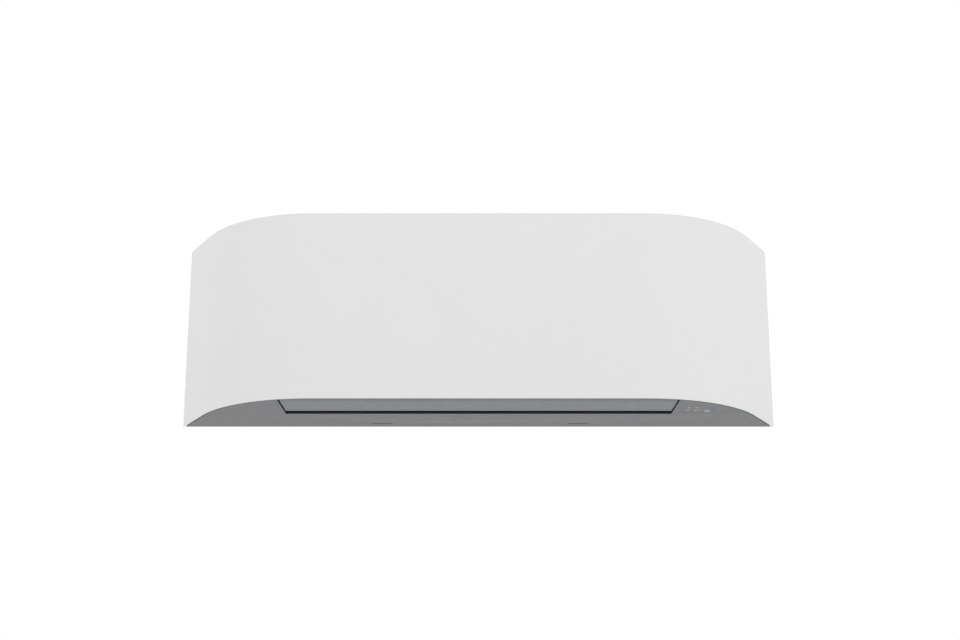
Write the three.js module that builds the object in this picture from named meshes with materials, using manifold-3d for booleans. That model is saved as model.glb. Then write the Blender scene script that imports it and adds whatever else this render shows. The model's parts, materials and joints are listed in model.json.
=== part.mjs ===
// Indoor unit of a mini split air conditioner, hung on a wall, as an assembly of separate pieces.
// Units are millimetres. X runs along the unit, +Y points into the wall and +Z up.
// The origin is the centre of the unit's height and length, on the wall behind the mounting plate.
import * as THREE from "three";
import { mergeVertices } from "three/addons/utils/BufferGeometryUtils.js";
import Module from "manifold-3d";

const wasm = await Module();
wasm.setup();

// ---- Driving dimensions -------------------------------------------------------------------

// The whole unit, and the gap left between pieces that touch.
const unitWidth = 987;
const unitHeight = 310;
const unitDepth = 210;
const seat = 0.3;

// The air path: fan, coil and outlet. Each end of the unit keeps room for the motor and pipes.
const airPathMargin = 190.5;
const airPathLength = unitWidth - 2 * airPathMargin;

// Front cover: one curved wall whose ends run back to the rear casing.
const coverWall = 3.2;
const coverStandOff = 20; // from the wall to the cover's rear edge
const cornerRadius = unitDepth + 1;
const cornerSpan = cornerRadius + 17.5; // along the unit, from its end to the flat front
const frontFlat = unitWidth - 2 * cornerSpan;
const coverRibDepth = 4;
const coverRibWidth = 2;
const coverRibPitch = 75;
const hingeSetBack = 55; // hinge axis behind the cover's front
const hingeDrop = 4; // hinge axis below the cover's top edge
const hingeSpread = unitWidth / 2 - 113.5; // hinge arms from the middle
const hingeArmWidth = 4;
const hingePinRadius = 2.5;
const hingePinLength = 8;
const hingePlay = 0.5;
const earGap = 2.5; // between hinge arm and ear
const earWidth = 5;
const lugSpread = unitWidth / 2 - 145.5; // lugs behind the cover's lower edge, from the middle
const lugWidth = 12;

// Top inlet frame and its two lift-out filters.
const deckDrop = 5; // below the cover's top edge
const deckWall = 3;
const deckClearance = 3.8; // to the inside of the cover
const inletLength = airPathLength + 14;
const inletFrontMargin = 24; // from the unit's front to the inlet's front edge
const inletBackMargin = 51.5; // from the wall to the inlet's rear edge
const inletMiddleBar = 8;
const wellDepth = 11;
const wellWall = 2.4;
const grilleBarHeight = 4;
const grilleBarWidth = 2.4;
const grilleBarsPerFilter = 5;
const columnWidth = 7;
const columnDepth = 8;
const columnSetBack = 32; // from the unit's front
const columnSpread = airPathLength / 2 + 46; // from the middle of the air path
const filterThickness = 6;
const filterPlay = 0.5;
const filterRim = 8;
const filterRib = 3;
const filterColumns = 6;
const filterRows = 3;
const filterNet = 0.8;
const filterTabLength = 34;

// Underside panel, with the notch that the flap closes.
const panelWall = 3;
const panelGap = 2; // to the inside of the cover
const panelRim = 2.4;
const panelRimHeight = 9;
const outletCentre = 3; // the air path sits a little to the right
const notchCentre = 0.5; // the notch reaches a little further to the left
const notchBackLength = airPathLength + 20;
const notchFrontLength = airPathLength + 31;
const notchFromWall = 108.6; // from the wall to the notch's rear edge
const releaseSpread = airPathLength / 2 - 140; // finger recesses from the middle of the air path
const releaseLength = 34;
const releaseWidth = 9;
const releaseDepth = 1;
const releaseFromWall = 45;

// Flap.
const flapPivotFromWall = 122;
const flapPivotHeight = 10; // above the unit's underside
const flapRise = 1; // flap's face above the underside panel's face
const flapPlate = 4;
const flapEndGap = 2.6;
const flapFrontGap = 3.8;
const flapCurl = 5.5; // how far the front edge turns up
const flapCurlLength = 17;
const flapBead = 4.5;
const flapPin = 3;
const pinPlay = 0.5;

// Fan and its motor.
const fanRadius = 50;
const fanLength = airPathLength;
const fanFromWall = 104;
const fanHeight = 123; // axis above the unit's underside
const fanBlades = 18;
const fanBladeWidth = 15;
const fanBladeWall = 1.6;
const fanBladeLean = 28; // degrees
const fanDisc = 2.4;
const fanRingWidth = 15;
const fanSections = 4;
const shaftRadius = 4;
const shaftPlay = 0.3;
const hubRadius = 11;
const hubLength = 14;
const bearingRadius = 11;
const bearingLength = 9;
const motorRadius = 40;
const motorLength = 62;
const motorGap = 3; // from the bulkhead
const motorBoss = 12;
const strapWall = 2;
const strapWidth = 16;
const strapFoot = 16;

// Rear casing.
const caseWall = 2.8;
const caseWidth = unitWidth - 19;
const caseLift = 6; // casing's underside above the unit's underside
const channelHeight = 53;
const channelDepth = 54;
const channelLength = caseWidth - 52;
const bulkheadWall = 3;
const bulkheadSpread = airPathLength / 2 + 18; // middle of each bulkhead from the middle of the air path
const scrollGap = 7; // between fan and casing where the scroll starts
const scrollGrowth = 21;
const scrollStart = -50; // degrees below straight back, where the spiral starts
const scrollEnd = 68;
const troughHeight = fanHeight + 70; // rear drain trough above the unit's underside
const troughReach = 66; // trough's front from the wall
const troughLip = 16;

// Outlet duct and its vanes.
const ductWall = 2;
const ductClearance = 0.6; // where the duct takes over from the scroll
const vaneTilt = 55.7; // degrees, of the pivots from upright
const vaneFoot = 28; // pivots down the duct's rear wall from the end of the scroll
const vanesPerSide = 5;
const vanePitch = (airPathLength / 2 - 13) / vanesPerSide;
const vaneGroupSpread = airPathLength / 4 - 1.5; // middle of each set from the middle of the path
const vaneThickness = 1.8;
const vaneRoot = 7; // foot of the blade above the duct's rear wall
const vaneTop = 74;
const vaneAhead = 14; // downstream of the pivot
const vaneBehind = 17.5; // upstream of the pivot, at the foot
const vaneTopBehind = 6;
const vanePivotRadius = 2.4;
const vaneCollar = 4;
const crankArm = 14;
const crankRadius = 1.5;
const linkWidth = 8;
const linkThickness = 2.4;
const stepperRadius = 11;
const stepperLength = 13;
const stepperOffset = 8; // shaft from the middle of the can
const driverDepth = 8; // how far a driven pin reaches into its motor

// Heat exchanger.
const slabThickness = 24;
const slabHalf = airPathLength / 2 + 3;
const slabAbovePan = 15.2; // foot of the lower slab above the pan's underside
const slabBendGap = 12; // from the bend of the coil to the upper slab
const slabPeakClearance = 0.86; // between the two slabs that lean on each other at the peak
const rearSlabFootGap = 35.1; // from the rear slab's lower end to the foot of its line
const coilSetBack = 30; // middle of the lower slab from the unit's front
const coilPeakAhead = 4; // peak in front of the fan's axis
const coilPeakDrop = 27; // peak below the unit's top
const coilBendHeight = fanHeight + 52;
const coilFootFromWall = 27;
const coilFootHeight = troughHeight - 8;
const tubeInset = 10; // first tube from the foot of a slab
const upperTubeInset = 16;
const tubePlateWall = 1.5;
const tubePlateWidth = 27;
const bendPitch = 21;
const bendTube = 3.5;

// Drain pan.
const panWall = 2.2;
const panHalf = airPathLength / 2 + 42;
const panFloorHeight = 77.8; // pan's underside above the unit's underside
const panDepth = 25;
const spigotRadius = 7;
const spigotLength = 14;
const plugLength = 11;

// Refrigerant pipes.
const gasRadius = 4.76;
const liquidRadius = 3.18;
const gasDropFromEnd = 83.5; // where each pipe drops, from the unit's end
const liquidDropFromEnd = 63.5;
const gasFromWall = 38.5;
const liquidFromWall = 28;
const gasBelowChannelTop = 25;
const liquidBelowChannelTop = 12.5;
const gasJointSpread = 80; // flared ends from the unit's middle
const liquidJointSpread = 120;
const gasExitRise = 8; // where each pipe leaves the coil, above the rear slab's lower end
const liquidExitRise = 23;
const gasLeadOut = 50; // straight length beside the coil
const liquidLeadOut = 60;
const pipeBend = 14;
const sleeveRadius = 10.5;
const gasNutRadius = 12;
const liquidNutRadius = 9;
const nutLength = 20;

// Control box.
const boxWall = 2;
const boxDepth = 40;
const boxWidth = 90;
const boxStart = airPathLength / 2 + 27; // left side from the unit's middle
const boxFromWall = 128; // box's open front from the wall
const boxBase = fanHeight + motorRadius + 14; // above the unit's underside, clear of the motor clamp
const boxTopMargin = 17; // below the cover's top edge
const boxHeight = unitHeight - boxBase - boxTopMargin;
const boardWall = 1.6;
const buttonRadius = 3.5;
const buttonTravel = 1.5;

// Lights behind the underside panel.
const iconRadius = 2.3;
const iconPitchX = 13;
const iconPitchY = 19;
const iconSpread = unitWidth / 2 - 149.5; // middle of the four icons from the unit's middle
const iconFromWall = 139.5;
const lampHalfLength = 6.5;
const lampHalfWidth = 9;
const lampSpread = unitWidth / 2 - 124;
const lampFromWall = 131;
const lightGap = 0.4;
const displayBoardHeight = 14; // above the unit's underside

// Mounting plate.
const plateWall = 1.5;
const plateWidth = unitWidth - 227;
const plateTop = unitHeight / 2 - 27;
const plateBottom = 63 - unitHeight / 2;
const plateFlange = 6;
const hookSpread = 200;
const hookWidth = 30;
const hookHeight = unitHeight / 2 - 45;
const hookLip = 8;

// Screws.
const screwRadius = 1.5;
const screwHead = 4;
const screwHeadHeight = 2.4;
const screwHole = 1.9;
const screwLength = 12;
const deckScrewSpread = unitWidth / 2 - 63.5;
const deckScrewFromWall = 10;

// ---- Levels and places worked out from them -----------------------------------------------

const RAD = Math.PI / 180;
const topZ = unitHeight / 2;
const bottomZ = -unitHeight / 2;
const frontY = -unitDepth;
const coverBackY = -coverStandOff;
const deckZ = topZ - deckDrop;
const deckUnder = deckZ - deckWall;
const panelTop = bottomZ + panelWall;
const restZ = panelTop + seat; // what stands on the underside panel starts here
const fanY = -fanFromWall;
const fanZ = bottomZ + fanHeight;
const caseTop = deckUnder - seat;
const caseBottom = bottomZ + caseLift;
const caseFrontY = coverBackY; // front face of the casing's back wall
const caseBackY = coverBackY + caseWall;
const caseHalf = caseWidth / 2;
const channelTop = caseBottom + channelHeight;
const channelFrontY = -channelDepth;
const hingeY = frontY + hingeSetBack;
const hingeZ = topZ - hingeDrop;
const arcCentreX = frontFlat / 2;
const arcCentreY = frontY + cornerRadius;
const deckInset = coverWall + deckClearance;
const panelInset = coverWall + panelGap;
const inletFrontY = frontY + inletFrontMargin;
const inletBackY = -inletBackMargin;
const windowLength = (inletLength - inletMiddleBar) / 2;
const grilleTop = deckZ - wellDepth + grilleBarHeight;
const notchY = -notchFromWall;
const flapY = -flapPivotFromWall;
const flapZ = bottomZ + flapPivotHeight;
const troughZ = bottomZ + troughHeight;
const troughFrontY = -troughReach;
const bulkheadOuter = bulkheadSpread + bulkheadWall / 2;
const bulkheadInner = bulkheadSpread - bulkheadWall / 2;
const ductHalf = bulkheadInner - seat - ductWall;
const motorX = outletCentre + bulkheadOuter + motorGap;
const motorMiddle = motorX + motorLength / 2;
const strapTurn = 18 * RAD; // one flat of the strap
const strapRadius = (motorRadius + seat) / Math.cos(strapTurn / 2) + strapWall / 2;
const footZ = strapRadius + strapWall / 2 + strapFoot / 2; // motor feet above and below the axis
const footY = fanY + motorRadius;
const clampScrewHeights = [fanZ - footZ, fanZ + footZ];
const panFloorZ = bottomZ + panFloorHeight;
const boxY = -boxFromWall;
const boxBottom = bottomZ + boxBase;
const boxTop = boxBottom + boxHeight;
const displayBoardZ = bottomZ + displayBoardHeight;

// The cover's corner arc sweeps until its tangent meets the cover's rear corner.
const cornerReach = new THREE.Vector2(unitWidth / 2 - arcCentreX, arcCentreY - coverBackY);
const sweep =
  Math.atan2(cornerReach.x, cornerReach.y) - Math.acos(cornerRadius / cornerReach.length());

// ---- Solid helpers ------------------------------------------------------------------------

const P = (a, b) => new THREE.Vector2(a, b);
const V = (x, y, z) => new THREE.Vector3(x, y, z);
const ordered = (a, b) => (a < b ? [a, b] : [b, a]);
const join = (solids) => solids.reduce((sum, next) => sum.add(next));
const cut = (solid, cutters) => cutters.reduce((rest, next) => rest.subtract(next), solid);
const bothSides = (make) => [-1, 1].map(make);

// The geometry with its positions alone.
function bare(geometry) {
  const copy = geometry.clone();
  copy.deleteAttribute("normal");
  copy.deleteAttribute("uv");
  return copy;
}

function toSolid(geometry) {
  const merged = mergeVertices(bare(geometry), 1e-3);
  const mesh = new wasm.Mesh({
    numProp: 3,
    vertProperties: new Float32Array(merged.attributes.position.array),
    triVerts: new Uint32Array(merged.index.array),
  });
  return new wasm.Manifold(mesh);
}

function toGeometry(solid) {
  const mesh = solid.getMesh();
  const points = new Float32Array(mesh.numVert * 3);
  for (let i = 0; i < mesh.numVert; i++) {
    const start = i * mesh.numProp;
    points.set(mesh.vertProperties.subarray(start, start + 3), i * 3);
  }
  const geometry = new THREE.BufferGeometry();
  geometry.setAttribute("position", new THREE.BufferAttribute(points, 3));
  geometry.setIndex(new THREE.BufferAttribute(mesh.triVerts, 1));
  return geometry;
}

function block(x0, x1, y0, y1, z0, z1) {
  const geometry = new THREE.BoxGeometry(x1 - x0, y1 - y0, z1 - z0);
  geometry.translate((x0 + x1) / 2, (y0 + y1) / 2, (z0 + z1) / 2);
  return toSolid(geometry);
}

// A polygon of (x, y) points, raised from z0 to z1.
function raised(points, z0, z1) {
  const geometry = new THREE.ExtrudeGeometry(new THREE.Shape(points), {
    depth: z1 - z0,
    bevelEnabled: false,
  });
  geometry.translate(0, 0, z0);
  return toSolid(geometry);
}

// A polygon of (y, z) points, drawn out along X from x0 to x1.
function drawn(points, x0, x1) {
  const geometry = new THREE.ExtrudeGeometry(new THREE.Shape(points), {
    depth: x1 - x0,
    bevelEnabled: false,
  });
  const turn = new THREE.Matrix4().makeBasis(V(0, 1, 0), V(0, 0, 1), V(1, 0, 0));
  geometry.applyMatrix4(turn);
  geometry.translate(x0, 0, 0);
  return toSolid(geometry);
}

function rodGeometry(from, to, radius, sides) {
  const geometry = new THREE.CylinderGeometry(radius, radius, to - from, sides);
  geometry.rotateX(Math.PI / 2);
  geometry.translate(0, 0, (from + to) / 2);
  return geometry;
}

// Rods along one axis, through a point given in the other two.
function rodX(y, z, x0, x1, radius, sides = 16) {
  const geometry = rodGeometry(x0, x1, radius, sides);
  geometry.rotateY(Math.PI / 2);
  geometry.translate(0, y, z);
  return toSolid(geometry);
}

function rodY(x, z, y0, y1, radius, sides = 16) {
  const geometry = rodGeometry(-y1, -y0, radius, sides);
  geometry.rotateX(Math.PI / 2);
  geometry.translate(x, 0, z);
  return toSolid(geometry);
}

function rodZ(x, y, z0, z1, radius, sides = 16) {
  const geometry = rodGeometry(z0, z1, radius, sides);
  geometry.translate(x, y, 0);
  return toSolid(geometry);
}

// The outline of a wall of one thickness that follows a line of points.
function stripOf(line, thickness) {
  const left = [];
  const right = [];
  line.forEach((point, i) => {
    const next = line[Math.min(i + 1, line.length - 1)];
    const before = line[Math.max(i - 1, 0)];
    const into = (i > 0 ? point.clone().sub(before) : next.clone().sub(point)).normalize();
    const out = (i < line.length - 1 ? next.clone().sub(point) : into.clone()).normalize();
    const middle = into.clone().add(out).normalize();
    const normal = P(-middle.y, middle.x);
    const reach = thickness / 2 / Math.max(0.3, normal.dot(P(-into.y, into.x)));
    left.push(point.clone().addScaledVector(normal, reach));
    right.push(point.clone().addScaledVector(normal, -reach));
  });
  return [...right, ...left.reverse()];
}

const wallAlong = (line, thickness, x0, x1) => drawn(stripOf(line, thickness), x0, x1);

// A run of straight stretches joined by rounded bends.
class BentRoute extends THREE.Curve {
  constructor(corners, radius, steps) {
    super();
    this.stops = [corners[0]];
    for (let i = 1; i < corners.length - 1; i++) {
      const into = corners[i - 1].clone().sub(corners[i]).normalize();
      const out = corners[i + 1].clone().sub(corners[i]).normalize();
      const trim = radius / Math.tan(into.angleTo(out) / 2);
      const start = corners[i].clone().addScaledVector(into, trim);
      const end = corners[i].clone().addScaledVector(out, trim);
      const bend = new THREE.QuadraticBezierCurve3(start, corners[i], end);
      this.stops.push(...bend.getPoints(steps));
    }
    this.stops.push(corners[corners.length - 1]);
    this.steps = this.stops.length - 1;
  }

  getPoint(t) {
    const place = t * this.steps;
    const i = Math.min(Math.floor(place + 1e-6), this.steps - 1);
    return this.stops[i].clone().lerp(this.stops[i + 1], place - i);
  }

  getPointAt(u) {
    return this.getPoint(u);
  }

  getTangentAt(u) {
    const place = Math.round(u * this.steps);
    const before = this.stops[Math.max(place - 1, 0)];
    const after = this.stops[Math.min(place + 1, this.steps)];
    return after.clone().sub(before).normalize();
  }
}

function pipe(corners, radius, bend = pipeBend, sides = 8) {
  const route = new BentRoute(corners, bend, 4);
  const ring = [];
  for (let i = 0; i < sides; i++) {
    const turn = (i / sides) * 2 * Math.PI;
    ring.push(P(radius * Math.cos(turn), radius * Math.sin(turn)));
  }
  const shape = new THREE.Shape(ring);
  return toSolid(new THREE.ExtrudeGeometry(shape, { steps: route.steps, extrudePath: route }));
}

// ---- The cover's outline ------------------------------------------------------------------

// Half-width, at depth y, of the cover's outline moved inwards by inset.
function halfWidthAt(y, inset) {
  const radius = cornerRadius - inset;
  const tangentY = arcCentreY - radius * Math.cos(sweep);
  if (y < tangentY) return arcCentreX + Math.sqrt(radius ** 2 - (arcCentreY - y) ** 2);
  return arcCentreX + radius * Math.sin(sweep) + (y - tangentY) / Math.tan(sweep);
}

// Depth y of the same outline at a distance x from the middle.
function frontAt(x, inset) {
  const past = Math.max(0, Math.abs(x) - arcCentreX);
  return arcCentreY - Math.sqrt((cornerRadius - inset) ** 2 - past ** 2);
}

// The outline from the right rear corner, round the front, to the left rear corner.
function outline(inset, backY, steps = 16) {
  const radius = cornerRadius - inset;
  const right = [P(halfWidthAt(backY, inset), backY)];
  for (let i = steps; i >= 0; i--) {
    const turn = (sweep * i) / steps;
    right.push(P(arcCentreX + radius * Math.sin(turn), arcCentreY - radius * Math.cos(turn)));
  }
  const left = right.map((p) => P(-p.x, p.y)).reverse();
  return [...left, ...right].reverse();
}

// ---- Finishes -----------------------------------------------------------------------------

const finish = (color, roughness, metalness = 0) =>
  new THREE.MeshStandardMaterial({ color, roughness, metalness });

const finishes = {
  shell: () => finish(0xe6e6e6, 0.6),
  casing: () => finish(0xdcdcda, 0.55),
  underside: () => finish(0x828486, 0.5),
  duct: () => finish(0x1c1e20, 0.6),
  vane: () => finish(0x2a2c2e, 0.5),
  net: () => finish(0x4a4e52, 0.7),
  fins: () => finish(0xb4b8bb, 0.4, 0.8),
  steel: () => finish(0xa4a7a8, 0.45, 0.9),
  copper: () => finish(0xb87348, 0.35, 1),
  brass: () => finish(0xb59a54, 0.35, 1),
  rubber: () => finish(0x26282a, 0.8),
  foam: () => finish(0xd9d7cf, 0.95),
  motor: () => finish(0xc9c8c2, 0.5),
  board: () => finish(0x3f6b46, 0.5),
  terminal: () => finish(0x35383b, 0.5),
  icon: () => finish(0xe9ecee, 0.3),
  lamp: () => finish(0x5296f5, 0.25),
};

// ---- Front cover --------------------------------------------------------------------------

function frontCover() {
  const outer = raised(outline(0, coverBackY), bottomZ, topZ);
  const inner = raised(outline(coverWall, coverBackY + 5), bottomZ - 1, topZ + 1);
  const ribs = [-1, 0, 1].map((step) => {
    const z = step * coverRibPitch;
    const back = frontY + coverWall + coverRibDepth;
    return block(-arcCentreX, arcCentreX, frontY + 1, back, z, z + coverRibWidth);
  });
  const arms = bothSides((side) => {
    const x = side * hingeSpread;
    const half = hingeArmWidth / 2;
    const tall = hingeDrop - seat;
    const face = frontAt(hingeSpread, coverWall / 2);
    const arm = block(x - half, x + half, face, hingeY + hingeDrop, hingeZ - tall, hingeZ + tall);
    const [x0, x1] = ordered(x, x + side * (half + hingePinLength));
    return arm.add(rodX(hingeY, hingeZ, x0, x1, hingePinRadius, 12));
  });
  // Lugs behind the lower edge come to rest on the underside panel's rim.
  const lugs = bothSides((side) => {
    const x = side * lugSpread;
    const half = lugWidth / 2;
    const z = panelTop + panelRimHeight / 2;
    const rim = frontAt(lugSpread - half, panelInset) - seat;
    return block(x - half, x + half, frontAt(lugSpread, coverWall / 2), rim, z - 3, z + 3);
  });
  return join([outer.subtract(inner), ...ribs, ...arms, ...lugs]);
}

// ---- Inlet frame and filters --------------------------------------------------------------

const windowCentre = (side) => outletCentre + (side * (windowLength + inletMiddleBar)) / 2;
const wellBottom = deckZ - wellDepth;

function grille() {
  const halfBar = grilleBarWidth / 2;
  const crossBars = bothSides((side) => {
    const bars = [];
    for (let i = 1; i <= grilleBarsPerFilter; i++) {
      const x = windowCentre(side) + (i / (grilleBarsPerFilter + 1) - 0.5) * windowLength;
      const [y0, y1] = [inletFrontY - 1, inletBackY + 1];
      bars.push(block(x - halfBar, x + halfBar, y0, y1, wellBottom, grilleTop));
    }
    return bars;
  }).flat();
  const middleY = (inletFrontY + inletBackY) / 2;
  const half = inletLength / 2 + 1;
  const [x0, x1] = [outletCentre - half, outletCentre + half];
  return [...crossBars, block(x0, x1, middleY - halfBar, middleY + halfBar, wellBottom, grilleTop)];
}

const earStart = hingeSpread + hingeArmWidth / 2 + earGap;

// Two columns run down to the underside panel and carry the drain pan on ledges.
function columns() {
  const y0 = frontY + columnSetBack;
  const y1 = y0 + columnDepth;
  return bothSides((side) => {
    const x = outletCentre + side * columnSpread;
    const half = columnWidth / 2;
    const column = block(x - half, x + half, y0, y1, restZ, deckZ - 1);
    const [x0, x1] = ordered(x, outletCentre + side * (bulkheadOuter + 4));
    const ledge = block(x0, x1, y0, y1, panFloorZ - seat - 5, panFloorZ - seat);
    return column.add(ledge);
  });
}

const deckScrews = bothSides((side) => P(side * deckScrewSpread, -deckScrewFromWall));

function inletFrame() {
  const deck = raised(outline(deckInset, coverBackY), deckUnder, deckZ);
  const apron = block(-caseHalf, caseHalf, coverBackY - 1, -2, deckUnder, deckZ);
  const wells = bothSides((side) => {
    const x = windowCentre(side);
    const half = windowLength / 2 + wellWall;
    const [y0, y1] = [inletFrontY - wellWall, inletBackY + wellWall];
    return block(x - half, x + half, y0, y1, wellBottom, deckZ);
  });
  const windows = bothSides((side) => {
    const x = windowCentre(side);
    const half = windowLength / 2;
    return block(x - half, x + half, inletFrontY, inletBackY, wellBottom - 1, deckZ + 1);
  });
  const ears = bothSides((side) => {
    const [x0, x1] = ordered(side * earStart, side * (earStart + earWidth));
    return block(x0, x1, hingeY - 5, hingeY + 5, deckUnder, topZ);
  });
  const sockets = bothSides((side) => {
    const [x0, x1] = ordered(side * (earStart - 1), side * (earStart + earWidth + 1));
    return rodX(hingeY, hingeZ, x0, x1, hingePinRadius + hingePlay, 12);
  });
  const slots = bothSides((side) => {
    const inside = side * (hingeSpread - hingeArmWidth / 2 - 2);
    const [x0, x1] = ordered(side * (earStart - seat), inside);
    return block(x0, x1, frontY, hingeY + hingeDrop + 3, deckUnder - 1, topZ + 1);
  });
  const holes = deckScrews.map((p) => rodZ(p.x, p.y, deckUnder - 1, deckZ + 1, screwHole, 8));
  const frame = cut(join([deck, apron, ...wells, ...ears]), [...windows, ...slots]);
  return cut(join([frame, ...grille(), ...columns()]), [...sockets, ...holes]);
}

// Local frame: the middle of the filter's underside, as it lies in its well.
function airFilter() {
  const halfX = windowLength / 2 - filterPlay;
  const halfY = (inletBackY - inletFrontY) / 2 - filterPlay;
  const body = block(-halfX, halfX, -halfY, halfY, 0, filterThickness);
  const spanX = 2 * (halfX - filterRim) - (filterColumns - 1) * filterRib;
  const spanY = 2 * (halfY - filterRim) - (filterRows - 1) * filterRib;
  const cellX = spanX / filterColumns;
  const cellY = spanY / filterRows;
  const netLow = (filterThickness - filterNet) / 2;
  const cells = [];
  for (let i = 0; i < filterColumns; i++) {
    for (let j = 0; j < filterRows; j++) {
      const x = -halfX + filterRim + i * (cellX + filterRib);
      const y = -halfY + filterRim + j * (cellY + filterRib);
      cells.push(block(x, x + cellX, y, y + cellY, -1, netLow));
      cells.push(block(x, x + cellX, y, y + cellY, netLow + filterNet, filterThickness + 1));
    }
  }
  const tabHalf = filterTabLength / 2;
  const [y0, y1] = [-halfY + 1, -halfY + filterRim - 1];
  const tab = block(-tabHalf, tabHalf, y0, y1, 1, filterThickness + 3);
  return cut(body, cells).add(tab);
}

// ---- Underside panel and flap -------------------------------------------------------------

const notchSlope = (notchFrontLength - notchBackLength) / 2 / (notchY - frontY);
const notchHalfAt = (y) => notchBackLength / 2 + notchSlope * (notchY - y);

// The notch's plan outline, with its ends moved in by a gap, from y0 at the back to y1.
function notchPlan(endGap, y0, y1) {
  const [half0, half1] = [notchHalfAt(y0) - endGap, notchHalfAt(y1) - endGap];
  return [
    P(notchCentre + half0, y0),
    P(notchCentre - half0, y0),
    P(notchCentre - half1, y1),
    P(notchCentre + half1, y1),
  ];
}

const iconPlaces = [-1, 1].flatMap((sx) =>
  [-1, 1].map((sy) => {
    const x = iconSpread + (sx * iconPitchX) / 2;
    return P(x, -iconFromWall + (sy * iconPitchY) / 2);
  }),
);

// The board above the lights reaches a little past them on every side, and stands on four pegs.
const board = {
  x0: iconSpread - 14,
  x1: lampSpread + 13,
  y0: -iconFromWall - 19,
  y1: -lampFromWall + 14,
};
const boardPegs = [
  P(board.x0 + 3, board.y0 + 3),
  P(board.x1 - 3, board.y0 + 3),
  P(board.x0 + 3, board.y1 - 3),
  P(board.x1 - 3, board.y1 - 3),
];

function lampPlan(grow) {
  const points = [];
  for (let i = 0; i < 16; i++) {
    const turn = (i / 16) * 2 * Math.PI;
    const x = lampSpread + (lampHalfLength + grow) * Math.cos(turn);
    points.push(P(x, -lampFromWall + (lampHalfWidth + grow) * Math.sin(turn)));
  }
  return points;
}

function bottomPanel() {
  const backY = coverBackY - seat;
  const rimTop = panelTop + panelRimHeight;
  const plate = raised(outline(panelInset, backY), bottomZ, panelTop);
  const rimOuter = raised(outline(panelInset, backY), panelTop - 1, rimTop);
  const rimInner = raised(outline(panelInset + panelRim, backY + 5), panelTop - 2, rimTop + 1);
  const underCasing = block(-unitWidth, unitWidth, channelFrontY - 2, 1, caseBottom - seat, rimTop + 1);
  const rim = cut(rimOuter, [rimInner, underCasing]);
  const backHalf = halfWidthAt(backY, panelInset + panelRim + caseWall + 3);
  const backRim = block(-backHalf, backHalf, backY - panelRim, backY, panelTop - 1, caseBottom - seat);
  const pegs = boardPegs.map((p) => rodZ(p.x, p.y, panelTop - 1, displayBoardZ - seat, 2.5, 8));
  const notch = raised(notchPlan(0, notchY, frontY - 5), bottomZ - 1, rimTop + 1);
  const releases = bothSides((side) => {
    const x = outletCentre + side * releaseSpread;
    const y = -releaseFromWall;
    const halfX = releaseLength / 2;
    const halfY = releaseWidth / 2;
    return block(x - halfX, x + halfX, y - halfY, y + halfY, bottomZ - 1, bottomZ + releaseDepth);
  });
  const iconHoles = iconPlaces.map((p) =>
    rodZ(p.x, p.y, bottomZ - 1, panelTop + 1, iconRadius + lightGap, 12),
  );
  const lampHole = raised(lampPlan(lightGap), bottomZ - 1, panelTop + 1);
  return cut(join([plate, rim, backRim, ...pegs]), [notch, ...releases, ...iconHoles, lampHole]);
}

function flap() {
  const low = bottomZ + flapRise;
  const middle = low + flapPlate / 2;
  const rearY = flapY - 0.5;
  const edgeY = frontY + coverWall + flapFrontGap;
  const section = [
    P(rearY, middle),
    P(edgeY + flapCurlLength, middle),
    P(edgeY + flapCurlLength * 0.42, middle + flapCurl * 0.3),
    P(edgeY - 2, middle + flapCurl),
  ];
  const half = notchFrontLength / 2;
  const sheet = wallAlong(section, flapPlate, notchCentre - half, notchCentre + half);
  const plan = raised(notchPlan(flapEndGap, notchY, frontY - 5), low - 1, flapZ + 5);
  const edge = raised(outline(coverWall + flapFrontGap, coverBackY), low - 2, flapZ + 6);
  const beadHalf = notchHalfAt(flapY) - flapEndGap - 1;
  const [x0, x1] = [notchCentre - beadHalf, notchCentre + beadHalf];
  const bead = rodX(flapY, flapZ, x0, x1, flapBead, 12);
  const web = block(x0, x1, rearY - 4, rearY, low + 1, flapZ);
  const leftEnd = outletCentre - bulkheadOuter - driverDepth;
  const rightEnd = outletCentre + bulkheadOuter - seat;
  const pins = rodX(flapY, flapZ, leftEnd, rightEnd, flapPin, 12);
  return join([sheet.intersect(plan).intersect(edge), bead, web, pins]);
}

// The motor's can sits above the pin that it turns, clear of the underside panel.
function flapMotor() {
  const x1 = outletCentre - bulkheadOuter - seat;
  const middleZ = flapZ + stepperOffset;
  const can = rodX(flapY, middleZ, x1 - stepperLength, x1, stepperRadius, 20);
  const ear = block(x1 - 2, x1, flapY - 17, flapY + 17, middleZ - 3, middleZ + 3);
  const nose = rodX(flapY, flapZ, x1 - stepperLength + 2, x1, flapPin + 2.5, 16);
  const bore = rodX(flapY, flapZ, x1 - driverDepth - 1, x1 + 1, flapPin + pinPlay, 12);
  return join([can, ear, nose]).subtract(bore);
}

// ---- Rear casing --------------------------------------------------------------------------

function scrollPoint(share) {
  const turn = (scrollStart + (scrollEnd - scrollStart) * share) * RAD;
  const radius = fanRadius + scrollGap + scrollGrowth * share ** 2;
  return P(fanY + radius * Math.cos(turn), fanZ - radius * Math.sin(turn));
}

function scrollLine() {
  const line = [P(troughFrontY, troughZ), P(troughFrontY - 1, fanZ + fanRadius * 0.9)];
  for (let i = 1; i <= 8; i++) line.push(scrollPoint(i / 8));
  return line;
}

const housingBackY = caseFrontY - seat;
const bulkheadPlan = [
  P(housingBackY, troughZ + troughLip),
  P(troughFrontY - 2, troughZ + troughLip),
  P(troughFrontY - 2, troughZ),
  P(fanY - 24, troughZ),
  P(fanY - 46, fanZ + 52),
  P(fanY - 46, panFloorZ - 3),
  P(flapY - 13, restZ),
  P(channelFrontY - seat, restZ),
  P(channelFrontY - seat, channelTop + seat),
  P(housingBackY, channelTop + seat),
];

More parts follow.
